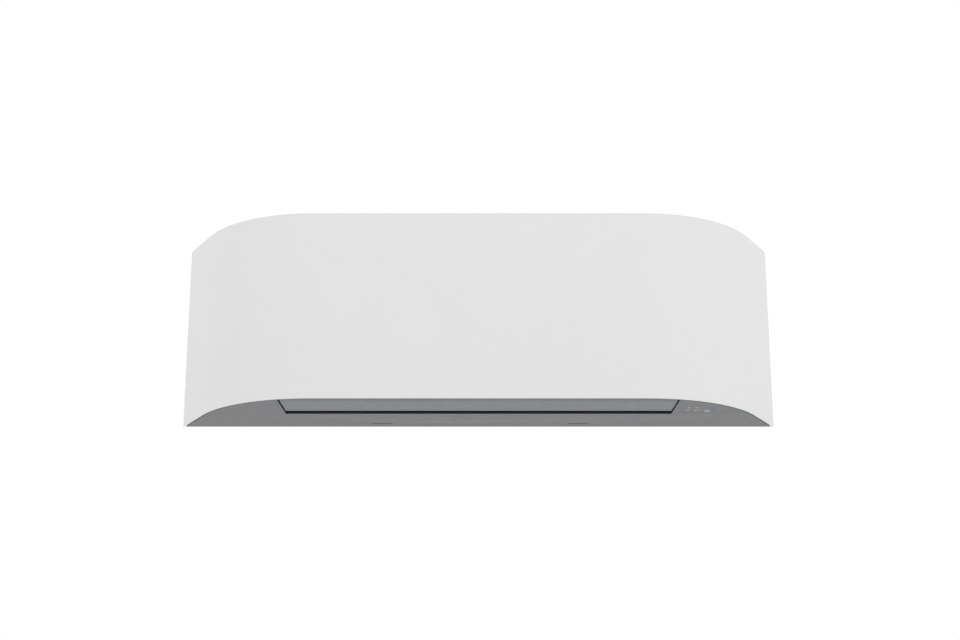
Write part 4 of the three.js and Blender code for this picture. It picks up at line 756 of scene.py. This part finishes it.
def grown(name, mesh, make, values, body, coat, replaced=(), angle=35.0):
    """A piece grown by a node tree from a mesh in metres, then made plain."""
    obj = show(name, mesh)
    modifier = obj.modifiers.new("Repeat", "NODES")
    modifier.node_group = tree(make)
    given = {**values, "Finish": finish(coat)}
    for item in modifier.node_group.interface.items_tree:
        if item.item_type == "SOCKET" and item.in_out == "INPUT" and item.name in given:
            modifier[item.identifier] = given[item.name]
    settle(obj)
    smooth(obj.data, angle)
    return hand_over(obj, body, replaced)


# ---- Outer pieces -------------------------------------------------------------------------


class UNIT_OT_front_cover(bpy.types.Operator):
    """Make the smooth white cover that runs round the front and both ends"""

    bl_idname = "unit.front_cover"
    bl_label = "Front cover"

    def execute(self, context):
        outer = context.scene.unit_outer
        wall = outer.cover_wall * 1000
        low, high = outer.lower_edge * 1000, outer.upper_edge * 1000
        lip = outer.lower_lip * 1000
        corners = [
            ((0.0, UNIT_BOTTOM), low),
            ((lip, UNIT_BOTTOM), 0.2),
            ((wall, UNIT_BOTTOM + 5), 0.5),
            ((wall, UNIT_TOP), 0.5),
            ((0.0, UNIT_TOP), high),
        ]
        section = rounded_section(corners, 5)
        lines = [outline(p.x, outer.arc_steps) for p in section]
        bm = bmesh.new()
        loops = []
        for i in range(len(lines[0])):
            loops.append([(line[i].x, line[i].y, p.y) for line, p in zip(lines, section)])
        skin(bm, loops)
        self.ribs(bm, wall)
        for side in (-1, 1):
            self.hinge_arm(bm, side, wall)
            self.lug(bm, side, wall)
        piece("cover_shell", bm, "cover", "white cover", ("front_cover",), angle=40)
        return {"FINISHED"}

    def ribs(self, bm, wall):
        """Stiffening ribs along the inside of the flat front."""
        depth, width = 4, 2
        for z in (-75, 0, 75):
            back = UNIT_FRONT + wall + depth
            block(bm, -FRONT_FLAT, FRONT_FLAT, UNIT_FRONT + 1, back, z, z + width)

    def hinge_arm(self, bm, side, wall):
        """The arm near one end of the cover's top, and the pin that it turns on."""
        spread, half, pin, length, tip = 380, 2, 2.5, 10, 0.6
        x = side * spread
        block(bm, x - half, x + half, front_at(spread, wall / 2), -151, 147.3, 154.7)
        start = min(x, x + side * length)
        profile = [(0, pin), (length - tip, pin), (length, pin - tip)]
        turned(bm, profile, Vector((start, -155, 151)), sides=24)

    def lug(self, bm, side, wall):
        """The lug that rests against the underside panel's rim."""
        spread, half = 348, 6
        x = side * spread
        rim = front_at(spread - half, PANEL_INSET) - 0.3
        block(bm, x - half, x + half, front_at(spread, wall / 2), rim, -150.5, -144.5)


def notch_half(y):
    """Half-length of the underside panel's notch at depth y."""
    back, front = 313.0, 318.5
    return back + (front - back) * (NOTCH_BACK - y) / (NOTCH_BACK - UNIT_FRONT)


def spread_rim(bm):
    """Draws the panel's lower edge out until it nearly meets the cover."""
    level = Vector((0, 0, (PANEL_TOP - 0.3) / 1000))
    geometry = [*bm.verts, *bm.edges, *bm.faces]
    bmesh.ops.bisect_plane(bm, geom=geometry, plane_co=level, plane_no=(0, 0, 1))
    for corner in bm.verts:
        if corner.co.z * 1000 < UNIT_BOTTOM + 0.2:
            x, y = widened(corner.co.x * 1000, corner.co.y * 1000, PANEL_INSET, RIM_INSET)
            corner.co.x, corner.co.y = x / 1000, y / 1000


class UNIT_OT_underside(bpy.types.Operator):
    """Make the grey underside panel and the flap that closes its notch"""

    bl_idname = "unit.underside"
    bl_label = "Underside panel and flap"

    def execute(self, context):
        panel = ("bottom_panel", "underside_panel", "underside", "grey underside")
        from_frame(*panel, edge=0.35, reshape=spread_rim)
        bm = bmesh.new()
        stations = 48
        skin(bm, [self.flap_section(i / stations * 2 - 1) for i in range(stations + 1)])
        bead = notch_half(FLAP_AXIS.y) - FLAP_END_GAP - 1
        x0, x1 = NOTCH_CENTRE - bead, NOTCH_CENTRE + bead
        turned(bm, [(x0, 3.9), (x0 + 0.6, 4.5), (x1 - 0.6, 4.5), (x1, 3.9)], FLAP_AXIS, sides=28)
        block(bm, x0, x1, -126.5, FLAP_REAR, -153, FLAP_AXIS.z)
        turned(bm, [(-327.5, 2.6), (-327.1, 3), (324.8, 3), (325.2, 2.6)], FLAP_AXIS, sides=24)
        piece("flap_plate", bm, "flap", "grey flap", ("flap",), edge=0.3, angle=35)
        return {"FINISHED"}

    def flap_section(self, share):
        """The flap's outline from rear to front at a share of its half-length, -1 to 1.

        Its front edge follows the cover and curls up towards it.
        """
        steps = 24
        front = front_at(abs(share) * notch_half(-203) + 3, 7.0)
        top, under = [], []
        for k in range(steps + 1):
            y = FLAP_REAR + (front - FLAP_REAR) * k / steps
            past = max(0.0, (CURL_START - y) / CURL_RUN)
            z = FLAP_LOW + FLAP_WALL / 2 + CURL_RISE * min(1.0, past) ** CURL_POWER
            slope = 0.0
            if past > 0:
                slope = CURL_RISE * CURL_POWER * max(past, 1e-6) ** (CURL_POWER - 1) / CURL_RUN
            half = FLAP_WALL / 2
            if k in (0, steps):
                half *= 0.45
            normal = Vector((slope, 1)).normalized()
            top.append((y + normal.x * half, z + normal.y * half))
            under.append((y - normal.x * half, z - normal.y * half))
        points = []
        for y, z in top + under[::-1]:
            points.append((NOTCH_CENTRE + share * (notch_half(y) - FLAP_END_GAP), y, z))
        return points


class UNIT_OT_lights(bpy.types.Operator):
    """Make the icon lights, the operation lamp and their board"""

    bl_idname = "unit.lights"
    bl_label = "Lights"

    def execute(self, context):
        for i in range(1, 5):
            from_frame(f"icon_light_{i}", f"icon_lens_{i}", "icon", "icon light", 0.2)
        from_frame("operation_lamp", "operation_lens", "lamp", "operation lamp", 0.25)
        from_frame("display_board", "light_board", "board", "board", 0.15)
        return {"FINISHED"}


# ---- Inner pieces -------------------------------------------------------------------------


class UNIT_OT_inlet(bpy.types.Operator):
    """Make the top inlet frame and its two air filters"""

    bl_idname = "unit.inlet"
    bl_label = "Inlet frame and filters"

    def execute(self, context):
        inside = context.scene.unit_inside
        from_frame("inlet_frame", "top_inlet", "casing", "pale casing", 0.35)
        for side, word in ((-1, "left"), (1, "right")):
            self.air_filter(AIR_CENTRE + side * 157.0, word, inside)
        return {"FINISHED"}

    def air_filter(self, middle, word, inside):
        """A frame with ribs and a lifting tab, and the fine net that it holds."""
        rim, rib, columns, rows, thickness = 8, 3, 6, 3, 6
        node = f"air_filter_{word}"
        z0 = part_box(node)[0].z * 1000
        z1 = z0 + thickness
        half_x = 152.5
        half_y = (INLET_BACK - INLET_FRONT) / 2 - 0.5
        centre_y = (INLET_BACK + INLET_FRONT) / 2
        x0, x1 = middle - half_x, middle + half_x
        y0, y1 = centre_y - half_y, centre_y + half_y
        bm = bmesh.new()
        block(bm, x0, x0 + rim, y0, y1, z0, z1)
        block(bm, x1 - rim, x1, y0, y1, z0, z1)
        inner = rim - 1
        for y in (y0 + 0.1, y1 - rim - 0.1):
            block(bm, x0 + inner, x1 - inner, y, y + rim, z0 + 0.1, z1 - 0.1)
        cell_x = (2 * (half_x - rim) - (columns - 1) * rib) / columns
        cell_y = (2 * (half_y - rim) - (rows - 1) * rib) / rows
        for i in range(1, columns):
            x = x0 + rim + i * cell_x + (i - 1) * rib
            block(bm, x, x + rib, y0 + inner, y1 - inner, z0 + 0.2, z1 - 0.2)
        for j in range(1, rows):
            y = y0 + rim + j * cell_y + (j - 1) * rib
            block(bm, x0 + inner, x1 - inner, y, y + rib, z0 + 0.4, z1 - 0.4)
        tab = 17
        block(bm, middle - tab, middle + tab, y0 + 1, y0 + 7, z0 + 1, z0 + 9)
        body = body_of(node)
        piece(f"filter_frame_{word}", bm, body, "filter frame", (node,), edge=0.5)
        tucked = 7.5  # how far the net ends inside the frame's outer sides
        values = {
            "Length": 2 * (half_x - tucked) / 1000,
            "Width": 2 * (half_y - tucked) / 1000,
            "Pitch": inside.net_pitch,
            "Strand": inside.net_strand,
            "Centre": (middle / 1000, centre_y / 1000, (z0 + thickness / 2) / 1000),
        }
        empty = bpy.data.meshes.new(f"filter_net_{word}")
        grown(f"filter_net_{word}", empty, net_tree, values, body, "filter net")


COIL_BEND = Vector((-180.0, 20.0))
COIL_PEAK = Vector((-108.0, 128.0))
COIL_FOOT = Vector((-27.0, 30.0))
COIL_X = (-303.0, 309.0)


def toward(start, end, distance):
    return start + (end - start).normalized() * distance


TUBE_PAIRS = [
    (Vector((-180, -52)), Vector((-180, -31))),
    (Vector((-180, -10)), Vector((-180, 11))),
    (toward(COIL_BEND, COIL_PEAK, 28), toward(COIL_BEND, COIL_PEAK, 49)),
    (toward(COIL_BEND, COIL_PEAK, 70), toward(COIL_BEND, COIL_PEAK, 91)),
    (toward(COIL_PEAK, COIL_FOOT, 27), toward(COIL_PEAK, COIL_FOOT, 48)),
]


class UNIT_OT_coil(bpy.types.Operator):
    """Make the finned coil, its tubes, end plates and return bends"""

    bl_idname = "unit.coil"
    bl_label = "Coil"

    def execute(self, context):
        inside = context.scene.unit_inside
        run = (COIL_PEAK - COIL_BEND).length
        slabs = {
            "front_lower": (Vector((-180, -62)), Vector((-180, 19))),
            "front_upper": (toward(COIL_BEND, COIL_PEAK, 12), toward(COIL_BEND, COIL_PEAK, run - 17)),
            "rear": (toward(COIL_PEAK, COIL_FOOT, 17), toward(COIL_PEAK, COIL_FOOT, 92)),
        }
        count = int((COIL_X[1] - COIL_X[0]) / (inside.fin_pitch * 1000))
        pitch = (COIL_X[1] - COIL_X[0] - inside.fin_wall * 1000) / (count - 1)
        for word, (start, end) in slabs.items():
            way = (end - start).normalized()
            out = Vector((-way.y, way.x)) * 12
            corners = [start + out, start - out, end - out, end + out]
            bm = bmesh.new()
            x0, x1 = COIL_X[0], COIL_X[0] + inside.fin_wall * 1000
            skin(bm, [[(x, p.x, p.y) for p in corners] for x in (x0, x1)])
            values = {"Count": count, "Step": (pitch / 1000, 0, 0)}
            node = f"evaporator_{word}"
            mesh = to_mesh(bm, f"fins_{word}")
            grown(f"fins_{word}", mesh, row_tree, values, "casing", "fins", (node,))
        bm = bmesh.new()
        for pair in TUBE_PAIRS:
            for p in pair:
                ends = [Vector((COIL_X[0] - 1, p.x, p.y)), Vector((COIL_X[1] + 1, p.x, p.y))]
                tube(bm, ends, TUBE_RADIUS + 0.3, 12)
        piece("coil_tubes", bm, "casing", "copper")
        for side, word in ((-1, "left"), (1, "right")):
            self.end_plate(side, word)
        return {"FINISHED"}

    def end_plate(self, side, word):
        """The plate that the tubes pass through, and the bends that join them outside it."""
        face = AIR_CENTRE + side * 307.8
        bm = copied(f"tube_plate_{word}")
        beyond = [v for v in bm.verts if side * (v.co.x * 1000 - face) > 0.02]
        bmesh.ops.delete(bm, geom=beyond, context="VERTS")
        bmesh.ops.holes_fill(bm, edges=[e for e in bm.edges if e.is_boundary], sides=0)
        bmesh.ops.dissolve_limit(bm, angle_limit=0.01, verts=bm.verts, edges=bm.edges)
        name = f"end_plate_{word}"
        obj = coated(name, kept_mesh(bm, name), "zinc plating", 0.2, 35)
        hand_over(obj, "casing", (f"tube_plate_{word}",))
        bm = bmesh.new()
        for start, end in TUBE_PAIRS:
            middle, half = (start + end) / 2, (end - start) / 2
            stops = [Vector((face, start.x, start.y))]
            for i in range(13):
                turn = math.pi * i / 12
                p = middle - half * math.cos(turn)
                out = face + side * (3 + half.length * math.sin(turn))
                stops.append(Vector((out, p.x, p.y)))
            stops.append(Vector((face, end.x, end.y)))
            tube(bm, stops, TUBE_RADIUS, 16)
            for p in (start, end):
                first = min(face, face + side * 2.2)
                turned(bm, [(0, 4.3), (2.2, 4.0)], Vector((first, p.x, p.y)), sides=20)
        piece(f"return_bends_{word}", bm, "casing", "copper")


class UNIT_OT_fan(bpy.types.Operator):
    """Make the cross-flow fan wheel, its bearing, motor, shaft and clamp"""

    bl_idname = "unit.fan"
    bl_label = "Fan and motor"

    def execute(self, context):
        self.blades(context.scene.unit_inside.blade_count)
        self.discs()
        bm = bmesh.new()
        turned(bm, [(294.3, 3.4), (294.9, 4), (347.9, 4), (348.5, 3.4)], FAN_AXIS, sides=24)
        piece("drive_shaft", bm, "fan", "zinc plating", ("motor_shaft",))
        bm = bmesh.new()
        profile = [(-327, 4.3), (-327, 10.4), (-326.4, 11), (-318.6, 11), (-318, 10.4), (-318, 4.3)]
        ring(bm, profile, FAN_AXIS, sides=36)
        piece("shaft_bearing", bm, "casing", "rubber", ("fan_bearing",))
        self.motor()
        from_frame("motor_clamp", "motor_strap", "steel", "zinc plating", 0.2)
        return {"FINISHED"}

    def blades(self, count):
        """Thin curved blades that lean forward, along the whole wheel."""
        steps, half_wall, chord_share = 6, 0.55, 0.55
        arc = []
        for k in range(steps + 1):
            angle = math.radians(-34 + 68 * k / steps)
            across = 12.6 * math.sin(angle) / math.sin(0.593)
            arc.append(Vector((18 * (1 - math.cos(angle)), across)))
        walls = [p + Vector((half_wall, 0)) for p in arc]
        walls += [p - Vector((half_wall, 0)) for p in reversed(arc)]
        lean = math.radians(28)
        loops = []
        for x in (FAN_START + 0.5, FAN_END - 0.5):
            loop = []
            for p in walls:
                b = p.y * chord_share
                y = 41.9 + b * math.cos(lean) - p.x * math.sin(lean)
                z = b * math.sin(lean) + p.x * math.cos(lean)
                loop.append((x, y, z))
            loops.append(loop)
        bm = bmesh.new()
        skin(bm, loops)
        mesh = to_mesh(bm, "fan_blades")
        values = {"Count": count, "Centre": tuple(FAN_AXIS / 1000)}
        grown("fan_blades", mesh, wheel_tree, values, "fan", "dark vane", (), 40)

    def discs(self):
        """The discs that hold the blades, the stub shaft on the left and the hub on the right."""
        wall, gaps, outer, ease = 2.4, 4, 49.5, 0.6
        bm = bmesh.new()
        for i in range(gaps + 1):
            x = FAN_START + (FAN_END - FAN_START - wall) * i / gaps
            inner = 1.0 if i in (0, gaps) else 35.0
            profile = [(x, inner), (x, outer - ease), (x + ease, outer)]
            profile += [(x + wall - ease, outer), (x + wall, outer - ease), (x + wall, inner)]
            ring(bm, profile, FAN_AXIS, sides=56)
        turned(bm, [(-326, 3.4), (-325.4, 4), (FAN_START + 1, 4)], FAN_AXIS, sides=24)
        hub = [(FAN_END - 14, 10.4), (FAN_END - 13.4, 11), (FAN_END - 2.4, 11)]
        turned(bm, hub, FAN_AXIS, sides=32)
        piece("fan_discs", bm, "fan", "dark vane", ("fan_wheel",), angle=30)

    def motor(self):
        """A resin-moulded motor with a steel end plate and cooling grooves."""
        x = MOTOR_START
        bm = bmesh.new()
        profile = [(x, 4.3), (x, 11.4), (x + 0.6, 12), (x + 4, 12), (x + 4, 33)]
        profile += [(x + 5, 35), (x + 9, 39.4), (x + 10.5, 40)]
        profile += [(x + 20, 40), (x + 20.8, 39.2), (x + 22.2, 39.2), (x + 23, 40)]
        profile += [(x + 53, 40), (x + 54.5, 39.4), (x + 60.5, 33.4), (x + 62, 32)]
        profile += [(x + 62, 18), (x + 61.2, 17), (x + 61.2, 0.5)]
        profile += [(x + 60, 0.5), (x + 20, 0.5), (x + 20, 4.3)]
        ring(bm, profile, FAN_AXIS, sides=64)
        piece("motor_body", bm, "casing", "motor resin", ("fan_motor",), angle=30)
        bm = bmesh.new()
        profile = [(x + 61.5, 6), (x + 61.5, 16.4), (x + 62, 16.4), (x + 62, 6)]
        ring(bm, profile, FAN_AXIS, sides=48)
        piece("motor_end_ring", bm, "casing", "zinc plating")


# The lip of the duct that shows as a dark line behind the flap, as (depth, height) points. Its dark colour
# is partly the duct's own dark plastic and partly painted shade: it covers the panel's edge face so that
# the gap behind the flap reads as shade.
LIP_AND_GAP_SHADE_SECTION = [
    (NOTCH_BACK - 0.3, -154.7),
    (NOTCH_BACK - 1.6, -154.7),
    (NOTCH_BACK - 1.6, -150.4),
    (NOTCH_BACK + 2.0, -150.4),
    (NOTCH_BACK + 2.0, -151.7),
    (NOTCH_BACK - 0.3, -151.7),
]


class UNIT_OT_outlet(bpy.types.Operator):
    """Make the outlet duct, its vanes with their links, and the small motors"""

    bl_idname = "unit.outlet"
    bl_label = "Outlet duct and vanes"

    def execute(self, context):
        from_frame("outlet_duct", "air_duct", "duct", "dark duct", 0.3)
        bm = bmesh.new()
        half = notch_half(NOTCH_BACK) - 0.6
        x0, x1 = NOTCH_CENTRE - half, NOTCH_CENTRE + half
        skin(bm, [[(x, y, z) for y, z in LIP_AND_GAP_SHADE_SECTION] for x in (x0, x1)])
        # Dark lip over the notch's rear edge: duct plastic that also serves as painted shade of the gap
        # behind the flap.
        piece("duct_lip_and_gap_shade", bm, "casing", "dark duct", edge=0.25)
        for i in range(1, 11):
            from_frame(f"vane_{i}", f"vane_blade_{i}", "vane", "dark vane", 0.35)
        for word in ("left", "right"):
            from_frame(f"vane_link_{word}", f"vane_bar_{word}", "vane", "dark vane", 0.3)
            from_frame(f"vane_motor_{word}", f"vane_stepper_{word}", "motor", "motor resin", 0.25)
        from_frame("flap_motor", "flap_stepper", "motor", "motor resin", 0.25)
        return {"FINISHED"}


class UNIT_OT_drain(bpy.types.Operator):
    """Make the drain pan and the plug on its spare spigot"""

    bl_idname = "unit.drain"
    bl_label = "Drain pan"

    def execute(self, context):
        from_frame("drain_pan", "water_pan", "duct", "dark duct", 0.3)
        from_frame("drain_plug", "spigot_plug", "rubber", "rubber", 0.4)
        return {"FINISHED"}


class UNIT_OT_pipes(bpy.types.Operator):
    """Make the two refrigerant pipes, their nuts, the foam sleeve and the clamp"""

    bl_idname = "unit.pipes"
    bl_label = "Refrigerant pipes"

    def execute(self, context):
        start_x = AIR_CENTRE + 308.1
        # How far down the rear slab each pipe starts, how far it runs out, the place along X and
        # the (depth, height) of its drop, the height where that begins, its end, radius and bend.
        runs = {
            "gas": (84, 50, 410, (-38.5, -121.0), 20, 80, 4.76, 14),
            "liquid": (69, 60, 430, (-28.0, -108.5), 30, 120, 3.18, 12),
        }
        for word, (down, out, drop, run, height, end, radius, bend) in runs.items():
            start = toward(COIL_PEAK, COIL_FOOT, down)
            corners = [
                (start_x, start.x, start.y),
                (start_x + out, start.x, start.y),
                (drop, run[0], height),
                (drop, run[0], run[1]),
                (end, run[0], run[1]),
            ]
            bm = bmesh.new()
            tube(bm, route(corners, bend), radius, 20)
            piece(f"{word}_line", bm, "casing", "copper", (f"{word}_pipe",))
            from_frame(f"{word}_flare_nut", f"{word}_nut", "brass", "brass", 0.5)
        bm = bmesh.new()
        profile = [(156, 5.1), (156, 9.3), (157.2, 10.5), (386.8, 10.5), (388, 9.3), (388, 5.1)]
        ring(bm, profile, Vector((0, -38.5, -121)), sides=36)
        piece("foam_sleeve", bm, "casing", "foam", ("pipe_sleeve",))
        from_frame("pipe_clamp", "pipe_bracket", "casing", "pale casing", 0.4)
        return {"FINISHED"}


class UNIT_OT_electrics(bpy.types.Operator):
    """Make the control box, its lid, boards, terminals, button and leads"""

    bl_idname = "unit.electrics"
    bl_label = "Control box"

    def execute(self, context):
        from_frame("control_box", "box_tray", "casing", "pale casing", 0.4)
        from_frame("control_lid", "box_lid", "steel", "zinc plating", 0.3)
        from_frame("terminal_block", "terminals", "terminal", "black terminal", 0.3)
        from_frame("temporary_button", "button_cap", "shell", "white cover", 0.3)
        self.board()
        self.terminal_screws()
        for word in ("motor", "display"):
            from_frame(f"{word}_lead", f"{word}_cable", "rubber", "white lead", 0.0, 60)
        return {"FINISHED"}

    def board(self):
        """The control board: relay, capacitors, chip with legs, switch and a row of resistors."""
        bm = bmesh.new()
        face = BOARD_FACE
        block(bm, 335, 415, face, face + 1.6, 40, 133)
        piece("control_circuit", bm, "casing", "board", ("control_board",), edge=0.15)
        bm = bmesh.new()
        block(bm, 342, 360, face - 13.5, face + 0.2, 103, 119)
        piece("relay", bm, "casing", "blue part", edge=0.8)
        for name, x, z, radius, height in (("tall", 376, 113, 7, 19.5), ("small", 394, 115, 5, 12.5)):
            self.capacitor(name, Vector((x, face - height, z)), radius, height)
        bm = bmesh.new()
        block(bm, 367.5, 386.5, face - 2.4, face - 0.4, 70.5, 83.5)
        piece("control_chip", bm, "casing", "dark part", edge=0.2)
        bm = bmesh.new()
        leg = ((369, 84.8), (370, 84.8), (370, 69.2), (369, 69.2))
        skin(bm, [[(x, y, z) for x, z in leg] for y in (face - 1.2, face + 0.1)])
        values = {"Count": 9, "Step": (0.002, 0, 0)}
        mesh = to_mesh(bm, "chip_legs")
        grown("chip_legs", mesh, row_tree, values, "casing", "zinc plating")
        bm = bmesh.new()
        block(bm, 394, 402, face - 9, face + 0.1, 42, 50)
        turned(bm, [(-15.5, 1.6), (-15.1, 2), (-8.9, 2)], Vector((398, face, 46)), axis="Y", sides=20)
        piece("push_switch", bm, "casing", "dark part", edge=0.25)
        bm = bmesh.new()
        foot = Vector((341, face - 1.3, 92))
        turned(bm, [(0, 0.9), (0.7, 1.25), (1.8, 1.0), (4.2, 1.0), (5.3, 1.25), (6, 0.9)], foot, sides=16)
        turned(bm, [(-1.6, 0.3), (7.6, 0.3)], foot, sides=8)
        values = {"Count": 6, "Step": (0, 0, -0.0055)}
        mesh = to_mesh(bm, "resistors")
        grown("resistors", mesh, row_tree, values, "casing", "tan part", angle=30)

    def capacitor(self, word, foot, radius, height):
        """A can in a dark sleeve whose bare top faces out of the box."""
        bm = bmesh.new()
        profile = [(0.6, radius - 1), (0.6, radius - 0.4), (1.2, radius), (height - 2, radius)]
        profile += [(height - 1.6, radius - 0.35), (height - 0.9, radius - 0.35), (height, radius - 0.1)]
        turned(bm, profile, foot, axis="Y", sides=36)
        piece(f"capacitor_{word}", bm, "casing", "dark part")
        bm = bmesh.new()
        profile = [(0.3, radius - 1.5), (0.5, radius - 1.1), (0.9, radius - 1.1)]
        turned(bm, profile, foot, axis="Y", sides=36)
        piece(f"capacitor_top_{word}", bm, "casing", "zinc plating")

    def terminal_screws(self):
        """One screw in each bay of the terminal block."""
        low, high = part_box("terminal_block")
        bay = (high.x - low.x - 0.002) / 4
        head = Vector((low.x * 1000 + 1 + bay * 500, high.y * 1000 - 7, (low.z + high.z) * 500))
        bm = bmesh.new()
        turned(bm, [(-1.9, 2.2), (-1.7, 2.9), (-1.1, 3.2), (0.1, 3.2)], head, axis="Y", sides=24)
        values = {"Count": 4, "Step": (bay, 0, 0)}
        mesh = to_mesh(bm, "terminal_screws")
        grown("terminal_screws", mesh, row_tree, values, "casing", "brass", angle=30)
        bm = bmesh.new()
        block(bm, head.x - 2.4, head.x + 2.4, head.y - 2.1, head.y - 1.8, head.z - 0.35, head.z + 0.35)
        mesh = to_mesh(bm, "terminal_slots")
        grown("terminal_slots", mesh, row_tree, values, "casing", "dark part", angle=30)


class UNIT_OT_casing(bpy.types.Operator):
    """Make the rear casing, the mounting plate and the screws"""

    bl_idname = "unit.casing"
    bl_label = "Rear casing"

    def execute(self, context):
        from_frame("rear_chassis", "rear_casing", "casing", "pale casing", 0.35)
        from_frame("fan_housing", "fan_scroll", "casing", "pale casing", 0.35)
        from_frame("mounting_plate", "wall_plate", "steel", "zinc plating", 0.3)
        for name in ("deck_left", "deck_right", "clamp_lower", "clamp_upper"):
            from_frame(f"screw_{name}", f"fixing_{name}", "steel", "zinc plating", 0.2)
        return {"FINISHED"}


# ---- Stage --------------------------------------------------------------------------------


class UNIT_OT_stage(bpy.types.Operator):
    """Set the floor, the surround, the key lamp and the camera"""

    bl_idname = "unit.stage"
    bl_label = "Stage"

    def execute(self, context):
        scene = context.scene
        stage = scene.unit_stage
        self.floor(stage)
        self.surround(scene, stage.daylight)
        self.lamp("key", (1.9, -2.6, 0.4), 1.8, stage.key_power)
        camera = bpy.data.objects.new("camera", bpy.data.cameras.new("camera"))
        scene.collection.objects.link(camera)
        camera.location = stage.camera_place
        camera.rotation_euler = (stage.camera_tilt, 0, 0)
        camera.data.lens = stage.camera_lens
        camera.data.sensor_width = 36
        camera.data.clip_end = 100
        scene.camera = camera
        scene.view_settings.view_transform = "Standard"
        return {"FINISHED"}

    def floor(self, stage):
        bm = bmesh.new()
        half = 9.0
        corners = [(-half, -half), (half, -half), (half, half), (-half, half)]
        bm.faces.new([bm.verts.new((x, y, stage.floor_height)) for x, y in corners])
        mesh = bpy.data.meshes.new("floor")
        bm.to_mesh(mesh)
        bm.free()
        made = Finish("pale floor", 0.9)
        colour = tuple(stage.floor_colour)
        made.colours(made.grain(400, 2), shade_of(colour, 0.99), shade_of(colour, 1.01))
        clear = made.add("ShaderNodeBsdfTransparent")
        seen = made.add("ShaderNodeNewGeometry").outputs["Backfacing"]
        mix = made.add("ShaderNodeMixShader", Fac=seen)
        made.tree.links.new(made.shader.outputs[0], mix.inputs[1])
        made.tree.links.new(clear.outputs[0], mix.inputs[2])
        made.tree.links.new(mix.outputs[0], made.tree.nodes["Material Output"].inputs["Surface"])
        mesh.materials.append(made.material)
        show("floor", mesh)

    def surround(self, scene, daylight):
        """White to the camera and in reflections, and an even light on the unit."""
        world = bpy.data.worlds.new("surround")
        world.use_nodes = True
        scene.world = world
        tree = world.node_tree
        paths = tree.nodes.new("ShaderNodeLightPath")
        seen = paths.outputs["Is Camera Ray"]
        for name in ("Is Glossy Ray", "Is Transmission Ray"):
            either = tree.nodes.new("ShaderNodeMath")
            either.operation = "MAXIMUM"
            tree.links.new(seen, either.inputs[0])
            tree.links.new(paths.outputs[name], either.inputs[1])
            seen = either.outputs[0]
        lit = tree.nodes["Background"]
        lit.inputs["Strength"].default_value = daylight
        lit.inputs["Color"].default_value = (1, 1, 1, 1)
        white = tree.nodes.new("ShaderNodeBackground")
        white.inputs["Color"].default_value = (1, 1, 1, 1)
        mix = tree.nodes.new("ShaderNodeMixShader")
        tree.links.new(seen, mix.inputs["Fac"])
        tree.links.new(lit.outputs[0], mix.inputs[1])
        tree.links.new(white.outputs[0], mix.inputs[2])
        tree.links.new(mix.outputs[0], tree.nodes["World Output"].inputs["Surface"])

    def lamp(self, name, place, size, power):
        """A soft square lamp that faces the unit."""
        light = bpy.data.lights.new(name, "AREA")
        light.size = size
        light.energy = power
        lamp = bpy.data.objects.new(name, light)
        bpy.context.scene.collection.objects.link(lamp)
        lamp.location = place
        lamp.rotation_euler = (-Vector(place)).to_track_quat("-Z", "Y").to_euler()


# ---- Panel and registration ---------------------------------------------------------------

STEPS = (
    UNIT_OT_front_cover,
    UNIT_OT_underside,
    UNIT_OT_lights,
    UNIT_OT_inlet,
    UNIT_OT_coil,
    UNIT_OT_fan,
    UNIT_OT_outlet,
    UNIT_OT_drain,
    UNIT_OT_pipes,
    UNIT_OT_electrics,
    UNIT_OT_casing,
    UNIT_OT_stage,
)
GROUPS = (("unit_outer", OuterSettings), ("unit_inside", InsideSettings), ("unit_stage", StageSettings))


class UNIT_PT_pieces(bpy.types.Panel):
    """Settings of the unit and the steps that make its pieces"""

    bl_idname = "UNIT_PT_pieces"
    bl_label = "Indoor unit"
    bl_space_type = "VIEW_3D"
    bl_region_type = "UI"
    bl_category = "Indoor unit"

    def draw(self, context):
        for name, group in GROUPS:
            box = self.layout.box()
            settings = getattr(context.scene, name)
            for field in group.__annotations__:
                box.prop(settings, field)
        for step in STEPS:
            self.layout.operator(step.bl_idname)


def register():
    for name, group in GROUPS:
        bpy.utils.register_class(group)
        setattr(bpy.types.Scene, name, PointerProperty(type=group))
    for made in (*STEPS, UNIT_PT_pieces):
        bpy.utils.register_class(made)


def unregister():
    for made in reversed((*STEPS, UNIT_PT_pieces)):
        bpy.utils.unregister_class(made)
    for name, group in reversed(GROUPS):
        delattr(bpy.types.Scene, name)
        bpy.utils.unregister_class(group)


def main():
    register()
    for step in STEPS:
        area, call = step.bl_idname.split(".")
        getattr(getattr(bpy.ops, area), call)()


if __name__ == "__main__":
    main()
